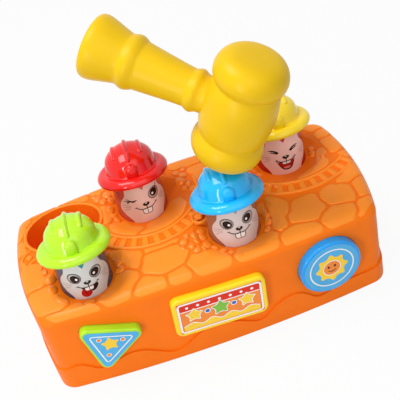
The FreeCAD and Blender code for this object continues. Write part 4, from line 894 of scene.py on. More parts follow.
    def track(self, centre: Point2, radius: float, start: float, end: float) -> None:
        """Lay one curved railway: two rounded rails and its sleepers.

        Args:
            centre: Middle of its curve.
            radius: Radius of its middle line.
            start: Angle of one end, in degrees.
            end: Angle of the other end.
        """
        for side in (-1, 1):
            reach = radius + side * self.gauge / 2
            path = []
            for cut in range(self.track_cuts + 1):
                spot = polar(centre, reach, math.radians(start + (end - start) * cut / self.track_cuts))
                if self.shape.margin(*spot) > self.rail_from_edge:
                    path.append(spot)
            self.ridge(path, self.rail_half, self.rail_rise, False)
        step = math.degrees(self.pitch / radius)
        half = math.degrees(self.sleeper / radius) / 2
        inner = radius - self.gauge / 2 + self.sleeper_from_rail
        outer = radius + self.gauge / 2 - self.sleeper_from_rail
        for index in range(int((end - start) / step)):
            first = math.radians(start + (index + 0.5) * step - half)
            last = math.radians(start + (index + 0.5) * step + half)
            corners = [polar(centre, inner, first), polar(centre, outer, first),
                       polar(centre, outer, last), polar(centre, inner, last)]
            if min(self.shape.margin(*corner) for corner in corners) >= self.sleeper_from_edge:
                self.pad(corners, self.sleeper_rise)

    def pad(self, corners: Sequence[Point2], rise: float) -> None:
        """Lay a small flat pad with a bevelled edge.

        Args:
            corners: Its corners in plan.
            rise: Its height above the crowned top.
        """
        middle = centroid(corners)
        rings = []
        levels = [(1.0, -self.pad_sink), *((share, rise * lift) for share, lift in self.pad_edge)]
        for share, lift in levels:
            ring = []
            for index, here in enumerate(corners):
                there = corners[(index + 1) % len(corners)]
                for part in (0.0, 0.33, 0.67):
                    spot = between(middle, between(here, there, part), share)
                    ring.append(Vector((*spot, self.shape.crowned(*spot) + lift)))
            rings.append(ring)
        # Sleepers take the stones' lighter orange: painted light on the raised pads.
        self.rail_draft.rings(rings, STONE_ORANGE_PAINTED_LIGHT)
        self.rail_draft.cap(rings[-1], Vector((*middle, self.shape.crowned(*middle) + rise)), STONE_ORANGE_PAINTED_LIGHT)

    def railway(self) -> None:
        """Lay the rails and sleepers, the rim of the well, and the wheel that lies beside them."""
        for centre_x, centre_y, radius, start, end in self.tracks:
            self.track((centre_x, centre_y), radius, start, end)
        cup_x, cup_y, half_long, half_wide = self.well
        rim = self.rim / 2
        half = (half_long + rim + 0.2, half_wide + rim + 0.2)
        self.ridge(ellipse((cup_x, cup_y), half, 0, 96), rim - 0.1, self.rim_rise, True)
        x, y, radius = self.wheel
        self.ridge(ellipse((x, y), (radius - 1.1, radius - 1.1), 0, 40), *self.tyre, True)
        self.ridge(ellipse((x, y), (self.hub[0], self.hub[0]), 0, 20), *self.hub, True)
        for rail in self.stub_rails:
            self.ridge(smooth_path(rail, 5), *self.stub_rail, False)
        for u, v in self.stub_sleepers:
            corners = [(u - 3.6, v - 0.4), (u + 0.2, v - 3.8), (u + 3.4, v - 0.6), (u - 0.4, v + 3.6)]
            self.pad(corners, self.stub_sleeper_rise)

    def _spot(self, spot: Point2, middle: Point2, inset: float, lift: float) -> Vector:
        """A point of a stone, moved inwards by inset and raised above the surface by lift."""
        gap = math.dist(spot, middle) or 1.0
        u, v = between(spot, middle, min(inset / gap, 0.5))
        return Vector((u, v, self.shape.height(u, v) + lift))

    def pebble(self, x: float, y: float, radius: float) -> None:
        """Lay one pebble: a low dome, slightly longer one way.

        Args:
            x: Its place along the base.
            y: Its place across the base.
            radius: Its mean radius.
        """
        turn = (x * 37.0 + y * 91.0) % 180.0
        radius *= self.swell
        for _, mole_x, mole_y in self.shape.moles:
            away = math.hypot(x - mole_x, y - mole_y)
            need = self.hole_radius + radius * self.pebble_long
            if away < need:
                x = mole_x + (x - mole_x) * need / away
                y = mole_y + (y - mole_y) * need / away
        rings = []
        for step in range(6):
            angle = math.radians(-18 + 18 * step)
            share = math.cos(angle)
            lift = self.pebble_rise * radius * math.sin(angle)
            half = (radius * share * self.pebble_long, radius * share * self.pebble_wide)
            outline = ellipse((x, y), half, turn, 20)
            rings.append([Vector((u, v, self.shape.height(u, v) + lift)) for u, v in outline])
        # The pebble's lighter orange is painted light on its dome; the plastic is the housing's.
        self.pebble_draft.rings(rings, PEBBLE_ORANGE_PAINTED_LIGHT)
        self.pebble_draft.cap(rings[-1], Vector((x, y, self.shape.height(x, y) + self.pebble_rise * radius)),
                              PEBBLE_ORANGE_PAINTED_LIGHT)

    def build(self) -> list[bpy.types.Object]:
        """Make the stones, the pebbles and the railway.

        Returns:
            The three new pieces.
        """
        for corners in self.stones:
            self.stone(corners)
        for pebble in self.pebbles:
            self.pebble(*pebble)
        self.railway()
        pieces = [draft.build() for draft in (self.stone_draft, self.pebble_draft, self.rail_draft)]
        for piece in pieces:
            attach(piece, "base")
        return pieces


@dataclass
class HardHat:
    """One mole's hat: domed crown with three soft ribs, lamp boss and thick rolled brim."""

    name: str
    finish: Finish
    x: float
    y: float
    brim_height: float = 117.4
    tilt_deg: float = 14.0
    turn_deg: float = -4.0
    brim_under: float = 2.8
    brim_roll: tuple[Point2, ...] = (
        (23.6, 4.7), (26.0, 4.6), (28.4, 3.3), (29.8, 1.2), (30.0, -0.4), (29.3, -2.0), (27.6, -2.8))
    crown_radius: float = 22.4
    crown_rise: float = 25.8
    dome: float = 24.0
    shoulder: float = 13.0
    slope_deg: float = 9.0
    wall: float = 1.8
    crease: tuple[Point2, ...] = ((21.35, 6.4), (21.62, 5.2), (22.3, 4.62))
    rib_width: float = 4.4
    rib_rises: tuple[float, float, float] = (1.5, 2.0, 1.5)
    rib_spacing: float = 11.0
    rib_feet: tuple[float, float, float] = (19.5, 17.0, 19.5)
    rib_pivot: float = 4.0
    rib_end: float = 0.55
    rib_tip: float = 0.35
    rib_sink: float = 0.06
    rib_flat: float = 0.9
    rib_pinch: float = 0.12
    rib_grid: tuple[int, int] = (64, 17)
    rib_probe: Point2 = (0.2, 0.02)
    sole: float = 0.8
    lamp_radius: float = 4.8
    lamp_height: float = 10.8
    lamp_proud: float = 1.4
    lamp_foot: float = 3.4
    lamp_steps: int = 30
    lamp_edge: tuple[Point2, ...] = (
        (4.0, 0.02), (3.0, 0.1), (2.1, 0.3), (1.3, 0.65), (0.6, 1.2), (0.15, 1.9), (0.0, 2.7), (0.0, 8.0))
    segments: int = 112
    draft: MeshDraft = field(init=False)

    def __post_init__(self) -> None:
        """Start the hat's mesh."""
        self.draft = MeshDraft(self.name + "_hat_shell")

    def section(self) -> tuple[Point2, float, Point2, float]:
        """The shoulder arc's centre, the dome's centre height, the flank's top point and the join's angle."""
        slope = math.radians(self.slope_deg)
        dome_height = self.crown_rise - self.dome
        base_x = self.crown_radius - self.shoulder * math.cos(slope)
        base_z = -self.shoulder * math.sin(slope) - dome_height
        half = -base_x * math.sin(slope) + base_z * math.cos(slope)
        rest = base_x ** 2 + base_z ** 2 - (self.dome - self.shoulder) ** 2
        run = -half + math.sqrt(half ** 2 - rest)
        centre = (base_x - run * math.sin(slope), base_z + run * math.cos(slope) + dome_height)
        lift = math.atan2(centre[1] - dome_height, centre[0])
        flank = (self.crown_radius - run * math.sin(slope), run * math.cos(slope))
        return centre, dome_height, flank, lift

    def radius_at(self, z: float) -> float:
        """Radius of the crown's outer surface at a height above the brim's middle."""
        centre, dome_height, flank, lift = self.section()
        join = dome_height + self.dome * math.sin(lift)
        if z <= flank[1]:
            return self.crown_radius - z * math.tan(math.radians(self.slope_deg))
        if z <= join:
            return centre[0] + math.sqrt(max(0.0, self.shoulder ** 2 - (z - centre[1]) ** 2))
        return math.sqrt(max(0.0, self.dome ** 2 - (z - dome_height) ** 2))

    def profile(self) -> list[Point2]:
        """Closed section from the top, over the brim and back up inside, as (radius, height)."""
        centre, dome_height, flank, lift = self.section()
        points: list[Point2] = []
        for step in range(13):
            angle = math.pi / 2 + (lift - math.pi / 2) * step / 12
            points.append(polar((0.0, dome_height), self.dome, angle))
        low = math.radians(self.slope_deg)
        for step in range(1, 11):
            angle = lift + (low - lift) * step / 10
            points.append(polar(centre, self.shoulder, angle))
        for step in range(1, 4):
            height = flank[1] + (self.crease[0][1] + self.sole - flank[1]) * step / 4
            points.append((self.radius_at(height), height))
        points.extend(smooth_path([*self.crease, *self.brim_roll], 4))
        inner = self.crown_radius - self.wall
        points.append((inner + 1.0, -self.brim_under))
        points.append((inner, self.sole - self.brim_under))
        for step in range(1, 9):
            height = (self.crown_rise - self.wall) * math.sin(math.pi / 2 * step / 8)
            outer = self.radius_at(min(height + self.sole, self.crown_rise))
            points.append((max(0.0, outer - self.wall), height))
        return points

    def place(self) -> Matrix:
        """Where the hat stands, in millimetres."""
        tilt = Matrix.Rotation(math.radians(-self.tilt_deg), 4, "X")
        turn = Matrix.Rotation(math.radians(self.turn_deg), 4, "Z")
        return Matrix.Translation((self.x, self.y, self.brim_height)) @ tilt @ turn

    def shell(self) -> None:
        """Add the crown and brim as one turned shell."""
        points = self.profile()
        upright = Matrix.Identity(4)
        rings = self.draft.turned(points[1:-1], self.finish, self.segments, upright, -math.pi / 2)
        self.draft.cap(rings[0], Vector((0, 0, points[0][1])), self.finish)
        self.draft.cap(rings[-1], Vector((0, 0, points[-1][1])), self.finish)

    def on_crown(self, x: float, angle: float) -> Vector:
        """Point of the crown in the upright plane at x, seen at an angle from the front over the top."""
        near = 0.0
        far = 2 * self.crown_radius
        for _ in range(26):
            reach = (near + far) / 2
            y = -reach * math.cos(angle)
            z = self.rib_pivot + reach * math.sin(angle)
            if z > self.crown_rise or math.hypot(x, y) > self.radius_at(z):
                far = reach
            else:
                near = reach
        return Vector((x, -near * math.cos(angle), self.rib_pivot + near * math.sin(angle)))

    def rib(self, x: float, foot: float, rise: float) -> None:
        """Add one rounded rib from the front of the crown to its back.

        Args:
            x: The rib's distance from the middle.
            foot: Height of its ends above the brim's middle.
            rise: How far it stands out of the crown.
        """
        first = math.atan2(foot - self.rib_pivot, math.sqrt(max(1.0, self.radius_at(foot) ** 2 - x ** 2)))
        last = math.pi - first
        pivot = Vector((0.0, 0.0, self.rib_pivot))
        rows, columns = self.rib_grid
        grid = []
        for row in range(rows + 1):
            angle = first + (last - first) * row / rows
            arc = min(row, rows - row) / rows * (last - first) * self.crown_radius
            end = min(1.0, arc / (self.rib_width * self.rib_end))
            taper = math.sqrt(1 - (1 - end) ** 2)
            line = []
            for column in range(columns):
                across = 2 * column / (columns - 1) - 1
                width = self.rib_width / 2 * (self.rib_tip + (1 - self.rib_tip) * taper)
                here = self.on_crown(x + across * width, angle)
                ahead = self.on_crown(x + across * width, angle + self.rib_probe[1])
                beside = self.on_crown(x + across * width + self.rib_probe[0], angle)
                normal = (ahead - here).cross(beside - here).normalized()
                if normal.dot(here - pivot) < 0:
                    normal.negate()
                bell = math.cos(across * math.pi / 2) ** self.rib_flat * (1 - self.rib_pinch * abs(across))
                line.append(here + normal * (rise * taper * bell - self.rib_sink))
            grid.append(line)
        self.draft.rings(grid, self.finish, closed=False)

    def lamp(self) -> None:
        """Add the round lamp boss on the front of the crown."""
        front = -(self.crown_radius + self.lamp_proud)
        count = self.lamp_steps
        rings = []
        for inset, depth in self.lamp_edge:
            radius = self.lamp_radius - inset
            arch = [polar((0.0, self.lamp_height), radius, math.pi * k / count) for k in range(count + 1)]
            arch = [(radius, self.lamp_foot), *arch, (-radius, self.lamp_foot)]
            rings.append([Vector((x, front + depth, z)) for x, z in arch])
        self.draft.rings(rings, self.finish)
        self.draft.cap(rings[0], Vector((0, front, self.lamp_height)), self.finish)

    def build(self) -> bpy.types.Object:
        """Make the hat and put it on its mole.

        Returns:
            The new piece.
        """
        self.shell()
        for side, foot, rise in zip((-1, 0, 1), self.rib_feet, self.rib_rises):
            self.rib(side * self.rib_spacing, foot, rise)
        self.lamp()
        place = self.place()
        self.draft.points = [place @ point for point in self.draft.points]
        piece = self.draft.build()
        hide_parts(self.name + "_hard_hat")
        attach(piece, self.name + "_mole")
        return piece


@dataclass
class ToyHammer:
    """The hammer's blown skin: two domed caps, a swelling barrel, and a handle with two beads and a flare."""

    centre: Spot = (53.9006, -28.3438, 191.1347)
    axis: Spot = (0.39004, -0.14001, 0.91009)
    reach: Spot = (-0.7136, 0.57867, 0.39486)
    cap: tuple[Point2, ...] = (
        (0, 48.75), (9.0, 48.65), (15.0, 48.2), (19.0, 47.3), (22.4, 45.6), (25.2, 43.0), (27.3, 39.4),
        (28.4, 35.6), (28.5, 32.4), (28.0, 29.4), (27.0, 27.0), (25.8, 25.1), (25.2, 23.8))
    barrel: tuple[Point2, ...] = (
        (25.2, 23.8), (25.6, 22.2), (26.8, 18.8), (28.1, 11.8), (28.7, 4.5), (28.8, 0.0))
    handle: tuple[Point2, ...] = (
        (14.8, 12.0), (14.8, 24.0), (14.9, 28.6), (15.5, 31.0), (16.8, 33.6), (17.1, 35.2), (16.7, 37.2),
        (15.7, 39.4), (15.3, 41.2), (15.9, 50.0), (17.4, 65.0), (18.8, 78.0), (19.3, 81.4), (20.9, 84.4),
        (21.9, 87.6), (21.6, 90.6), (20.5, 93.4), (20.4, 95.4), (21.2, 99.0), (22.9, 105.0), (24.6, 111.0),
        (25.5, 115.0), (25.8, 118.0), (25.3, 120.8), (23.9, 122.8), (21.6, 124.0), (17.0, 124.7),
        (9.0, 125.0), (0, 125.0))
    pole_radius: float = 0.02
    segments: int = 96

    def along(self, draft: MeshDraft, section: Sequence[Point2], way: Spot) -> None:
        """Turn a section round an axis through the middle of the head.

        Args:
            draft: The mesh that it is added to.
            section: Points as (radius, distance along the axis).
            way: The axis.
        """
        turn = Vector(way).to_track_quat("Z", "Y").to_matrix().to_4x4()
        open_ended = [(max(radius, self.pole_radius), height) for radius, height in section]
        draft.turned(open_ended, HAMMER_YELLOW, self.segments, Matrix.Translation(Vector(self.centre)) @ turn)

    def build(self) -> bpy.types.Object:
        """Make the hammer in place of its plain solid.

        Returns:
            The new piece.
        """
        draft = MeshDraft("hammer_skin")
        half = smooth_path(self.cap, 3)[:-1] + smooth_path(self.barrel, 4)
        self.along(draft, half + [(radius, -height) for radius, height in reversed(half[:-1])], self.axis)
        self.along(draft, smooth_path(self.handle, 3), self.reach)
        piece = draft.build()
        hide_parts("hammer")
        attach(piece, "hammer")
        return piece


@dataclass
class ReturnSpring:
    """The coil spring under one mole, wound from wire between the cover's seat and the plunger's foot."""

    name: str
    x: float
    y: float
    seat: float = 12.0
    foot: float = 32.0
    travel: float = 6.0
    coil_radius: float = 6.2
    wire_radius: float = 0.6
    turns: int = 4
    steps: int = 40
    sides: int = 12
    gap: float = 0.05

    def build(self) -> bpy.types.Object:
        """Wind the spring in place of its plain solid.

        Returns:
            The new piece.
        """
        draft = MeshDraft(self.name + "_coil")
        low = self.seat + self.wire_radius + self.gap
        pitch = (self.foot - self.seat - 2 * (self.wire_radius + self.gap)) / self.turns
        rings = []
        for k in range(self.turns * self.steps + 1):
            ring = []
            for side in range(self.sides):
                out, lift = polar((self.coil_radius, low + pitch * k / self.steps), self.wire_radius,
                                  2 * math.pi * side / self.sides)
                ring.append(Vector((*polar((self.x, self.y), out, 2 * math.pi * k / self.steps), lift)))
            rings.append(ring)
        draft.rings(rings, SPRING_STEEL)
        for ring in (rings[0], rings[-1]):
            draft.cap(ring, sum(ring, Vector()) / len(ring), SPRING_STEEL)
        piece = draft.build()
        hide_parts(self.name + "_mole_spring")
        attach(piece, "base")
        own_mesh(piece)
        return piece


class Mouth(Enum):
    """How a face's mouth is drawn."""

    TONGUE = "tongue"
    BUCK_TEETH = "buck_teeth"
    LAUGH = "laugh"


class Eyes(Enum):
    """How a face's eyes are drawn."""

    OPEN = "open"
    WINK = "wink"
    SQUINT = "squint"


@dataclass
class MoleFace:
    """A plain cartoon face printed round the front of one head."""

    name: str
    x: float
    y: float
    patch: Finish
    tuft: Finish
    mouth: Mouth
    eyes: Eyes
    middle: float = 0.5
    eye_height: float = 102.0
    side_radius: float = 21.1
    neck_radius: float = 19.4
    shoulder_height: float = 86.0
    neck_height: float = 114.0
    eye_spread: float = 9.2
    eye_white: Point2 = (4.5, 4.6)
    outer_line: Point2 = (5.3, 5.2)
    inner_line: Point2 = (4.45, 4.45)
    pupil: Point2 = (3.75, 3.85)
    shine: Point2 = (1.05, 1.15)
    shine_shift: Point2 = (1.35, -0.5)
    nose_drop: float = 6.6
    lip_drop: float = 4.4
    whisker_drop: float = 5.8
    whisker_share: float = 0.55
    whisker_dark: Colour = (0.12, 0.04, 0.03)
    waist: Point2 = (0.3, 0.55)
    tuft_lift: float = 8.2
    tuft_half: float = 5.4
    tuft_length: float = 8.0
    ink: Print = field(init=False)

    def __post_init__(self) -> None:
        """Start the face's print."""
        self.ink = Print(MeshDraft(self.name + "_face_print"), self.surface)

    def radius_at(self, z: float) -> float:
        """Radius of the head at a height."""
        if z <= self.shoulder_height:
            return self.side_radius
        if z >= self.neck_height:
            return self.neck_radius
        side = self.side_radius
        shrink = side - self.neck_radius
        span = self.neck_height - self.shoulder_height
        a = (side, self.shoulder_height)
        b = (side - self.waist[0] * shrink, self.shoulder_height + self.waist[1] * span)
        c = (self.neck_radius, self.neck_height)
        d = 2 * (a[0] * (b[1] - c[1]) + b[0] * (c[1] - a[1]) + c[0] * (a[1] - b[1]))
        squares = [p[0] ** 2 + p[1] ** 2 for p in (a, b, c)]
        ux = (squares[0] * (b[1] - c[1]) + squares[1] * (c[1] - a[1]) + squares[2] * (a[1] - b[1])) / d
        uy = (squares[0] * (c[0] - b[0]) + squares[1] * (a[0] - c[0]) + squares[2] * (b[0] - a[0])) / d
        bend = math.hypot(a[0] - ux, a[1] - uy)
        return ux + math.sqrt(max(0.0, bend ** 2 - (z - uy) ** 2)) * (1 if ux < a[0] else -1)

    def surface(self, u: float, z: float, lift: float) -> Vector:
        """Point of the head's skin: u is the distance round from the front, z the height."""
        radius = self.radius_at(z)
        angle = u / radius
        reach = radius + lift + 0.02
        return Vector((self.x + reach * math.sin(angle), self.y - reach * math.cos(angle), z))

    def patch_outline(self) -> list[Point2]:
        """Wavy edge of the pale face."""
        side = [(3.4, 117.5), (10, 117.2), (15.2, 115), (16, 110), (17.2, 106), (20.5, 102), (23, 98),
                (24.4, 93), (23.2, 89), (20, 85.5), (16.5, 82.5), (14.5, 79.5), (13, 77)]
        right = [(u + self.middle, z) for u, z in side]
        left = [(-u + self.middle, z) for u, z in reversed(side)]
        return smooth_path([*right, (self.middle + 5, 76.2), (self.middle - 5, 76.2), *left], 3)

    def open_eye(self, centre: Point2, look: Point2) -> None:
        """Draw a round eye.

        Args:
            centre: The eye's middle.
            look: Where the pupil sits from the middle.
        """
        self.ink.disc(centre, self.eye_white, self.patch, 2)
        self.ink.ring(centre, self.outer_line, 0.62, INK_LINE, 3, 44)
        self.ink.ring(centre, self.inner_line, 0.45, INK_LINE, 3, 40)
        pupil = (centre[0] + look[0], centre[1] + look[1])
        self.ink.disc(pupil, self.pupil, INK_DARK, 4)
        inward = 1 if centre[0] < self.middle else -1
        shine = (pupil[0] + self.shine_shift[0] * inward, pupil[1] + self.shine_shift[1])
        self.ink.disc(shine, self.shine, INK_WHITE, 5, 3)

    def wink(self, centre: Point2) -> None:
        """Draw a closed eye with lashes.

        Args:
            centre: The eye's middle.
        """
        lid = [(-4.2, -1.6), (-1, -0.6), (2, -0.9), (5.2, 0.4)]
        self.ink.curve(centre, lid, [0.4, 1.3, 1.9, 0.4], INK_DARK, 3)
        for lash, root, middle in (([(0.5, -0.8), (-2.6, 1.0), (-4.0, 1.6)], 1.1, 0.7),
                                   ([(-1.5, -0.8), (-4.6, -0.6), (-6.4, -0.9)], 1.1, 0.7),
                                   ([(-1.5, -0.9), (-3.2, -2.6), (-4.2, -3.4)], 1.0, 0.6)):
            self.ink.curve(centre, lash, [root, middle, 0.3], INK_DARK, 4)

    def squint(self, centre: Point2, side: int) -> None:
        """Draw an eye shut by laughing.

        Args:
            centre: The eye's middle.
            side: -1 for the left eye and 1 for the right.
        """
        for lift, scale, width in ((0.6, 1.0, 1.4), (-1.1, 0.8, 1.0)):
            lid = [(-side * 4.2 * scale, lift * 0.4 - 1.4), (-side * 1.5, lift), (side * 1.5, lift + 0.6),
                   (side * 4.6 * scale, lift + 0.2)]
            self.ink.curve(centre, lid, [width, width * 1.2, width, 0.25], INK_DARK, 3)

    def nose(self) -> float:
        """Draw the nose and the line under it.

        Returns:
            Height of the line's lower end.
        """
        u = self.middle
        z = self.eye_height - self.nose_drop
        tip = [(-3.2, 1.0), (-1.6, 1.9), (1.6, 1.9), (3.2, 1.0), (2.6, -0.9), (0, -1.9), (-2.6, -0.9)]
        self.ink.blob((u, z), tip, INK_DARK, 3, rounds=3)
        self.ink.disc((u, z + 1.0), (0.9, 0.45), INK_WHITE, 4, 2, 16)
        lip = z - self.lip_drop
        self.ink.stroke([(u, z - 1.2), (u, z - 2.6), (u, lip)], [0.75, 0.7], INK_DARK, 5)
        return lip

    def teeth(self, top: float, half: float, length: float, layer: int) -> None:
        """Draw the two front teeth.

        Args:
            top: Height of their upper edge.
            half: Half their width together.
            length: How long they are.
            layer: The layer of their fill.
        """
        u = self.middle
        low = top - length * 0.94
        cheek = top - length * 0.55
        foot = top - length
        gum = top + 0.3
        outline = smooth_loop([(u - half, gum), (u - half, cheek), (u - half * 0.75, foot), (u, low),
                               (u + half * 0.75, foot), (u + half, cheek), (u + half, gum), (u, gum)], 2)
        self.ink.fill(outline, INK_WHITE, layer, 3)
        self.ink.stroke(outline, [0.62], INK_LINE, layer + 1, True)
        self.ink.stroke([(u, top), (u, top - length * 0.5), (u, low)], [0.6, 0.5], INK_LINE, layer + 1)

    def smile(self, z: float, half: float, sag: float) -> None:
        """Draw the line of the mouth with its upturned corners.

        Args:
            z: Height of the middle.
            half: Half the width.
            sag: How far the middle lies below the corners.
        """
        line = [(-half, sag), (-half * 0.62, 0.2 * sag), (-half * 0.25, 0), (0, 0.3), (half * 0.25, 0),
                (half * 0.62, 0.2 * sag), (half, sag)]
        self.ink.curve((self.middle, z), line, [0.75, 0.95, 0.8, 0.95, 0.75], INK_DARK, 5)
        for side in (-1, 1):
            corner = [(-0.9 * side, 0.9), (0, 0), (1.2 * side, -0.1)]
            self.ink.curve((self.middle + side * half, z + sag), corner, [0.4, 0.8, 0.3], INK_DARK, 6)

    def draw_mouth(self, z: float) -> None:
        """Draw the mouth that belongs to the expression.

        Args:
            z: Height of the line's middle.
        """
        lip = (self.middle, z)
        if self.mouth is Mouth.BUCK_TEETH:
            self.teeth(z, 4.2, 5.6, 3)
            self.smile(z, 9.0, 2.6)
        elif self.mouth is Mouth.TONGUE:
            gape = [(-6.6, 1.0), (0, 0.2), (8.6, 0.6), (7.2, -3.6), (3.2, -6.4), (-1.5, -4.8), (-5.2, -2.0)]
            tongue = [(-4.8, -0.4), (-1.0, -1.8), (1.8, -5.0), (0.2, -9.0), (-4.0, -10.8), (-7.6, -8.4),
                      (-7.6, -4.6)]
            self.ink.blob(lip, gape, INK_DARK, 2)
            self.ink.blob(lip, tongue, INK_RED, 3)
            self.ink.curve(lip, [(-3.4, -3.0), (-3.6, -5.6), (-3.0, -8.0)], [0.3, 0.5, 0.2], INK_DARK, 4)
            self.teeth(z, 3.8, 4.0, 5)
            self.smile(z, 8.6, 2.0)
        else:
            gape = [(-7.6, 0.9), (0, 0.2), (7.0, 0.9), (5.6, -4.6), (2.6, -8.2), (-2.6, -8.2), (-5.8, -4.4)]
            edge = [(-8.4, 1.6), (-5.8, -4.0), (-2.6, -8.0), (2.6, -8.2), (5.6, -4.2), (7.8, 1.6)]
            tongue = [(-3.8, -5.8), (0, -5.2), (3.8, -5.8), (2.0, -7.8), (-2.0, -7.8)]
            self.ink.blob(lip, gape, INK_RED, 2)
            self.ink.curve(lip, edge, [0.5, 1.1, 1.2, 1.1, 0.5], INK_DARK, 4)
            self.ink.blob(lip, tongue, INK_PINK, 3)
            self.teeth(z, 3.9, 2.9, 5)
            self.smile(z, 8.4, 2.2)

    def whiskers(self) -> None:
        """Draw faint whiskers on both cheeks."""
        for side in (-1, 1):
            for drop, reach, fall in ((0.0, 22.5, 1.0), (1.5, 22.8, 2.3), (3.0, 21.5, 4.2)):
                hair = [(side * (12.5 + drop * 0.4), 0), (side * 17.0, -fall * 0.3), (side * reach, -fall)]
                root = (self.middle, self.eye_height - self.whisker_drop - drop)
                self.ink.curve(root, hair, [0.3, 0.65, 0.25], self.whisker_ink(), 2)

    def whisker_ink(self) -> Finish:
        """Faint brown between the patch and the ink."""
        pale, dark = self.patch.colour, self.whisker_dark
        share = self.whisker_share
        colour = tuple((1 - share) * p + share * d for p, d in zip(pale, dark))
        return ink_finish("whisker_ink_" + self.name, colour)

    def build(self) -> bpy.types.Object:
        """Make the printed face.

        Returns:
            The new piece.
        """
        self.ink.fill(self.patch_outline(), self.patch, 1, 12)
        tip = self.eye_height + self.tuft_lift
        root = tip + self.tuft_length
        half = self.tuft_half
        tuft = [(self.middle - half, root), (self.middle + half, root), (self.middle, tip)]
        self.ink.fill(tuft, self.tuft, 2, 3)
        left = (self.middle - self.eye_spread, self.eye_height)
        right = (self.middle + self.eye_spread, self.eye_height)
        if self.eyes is Eyes.SQUINT:
            self.squint((left[0] - 0.6, left[1]), -1)
            self.squint((right[0] - 0.8, right[1]), 1)
        elif self.eyes is Eyes.WINK:
            self.wink((left[0] - 2.8, left[1] - 0.4))
            self.open_eye((right[0], right[1] + 0.6), (0.0, 0.4))
            self.ink.curve(right, [(3.0, 4.2), (4.4, 6.4), (4.2, 8.2)], [0.9, 0.6, 0.2], INK_LINE, 4)
        else:
            self.open_eye(left, (0.4, -0.5))
            self.open_eye(right, (-0.5, 0.1))
        self.draw_mouth(self.nose())
        self.whiskers()
        piece = self.ink.draft.build()
        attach(piece, self.name + "_mole")
        return piece


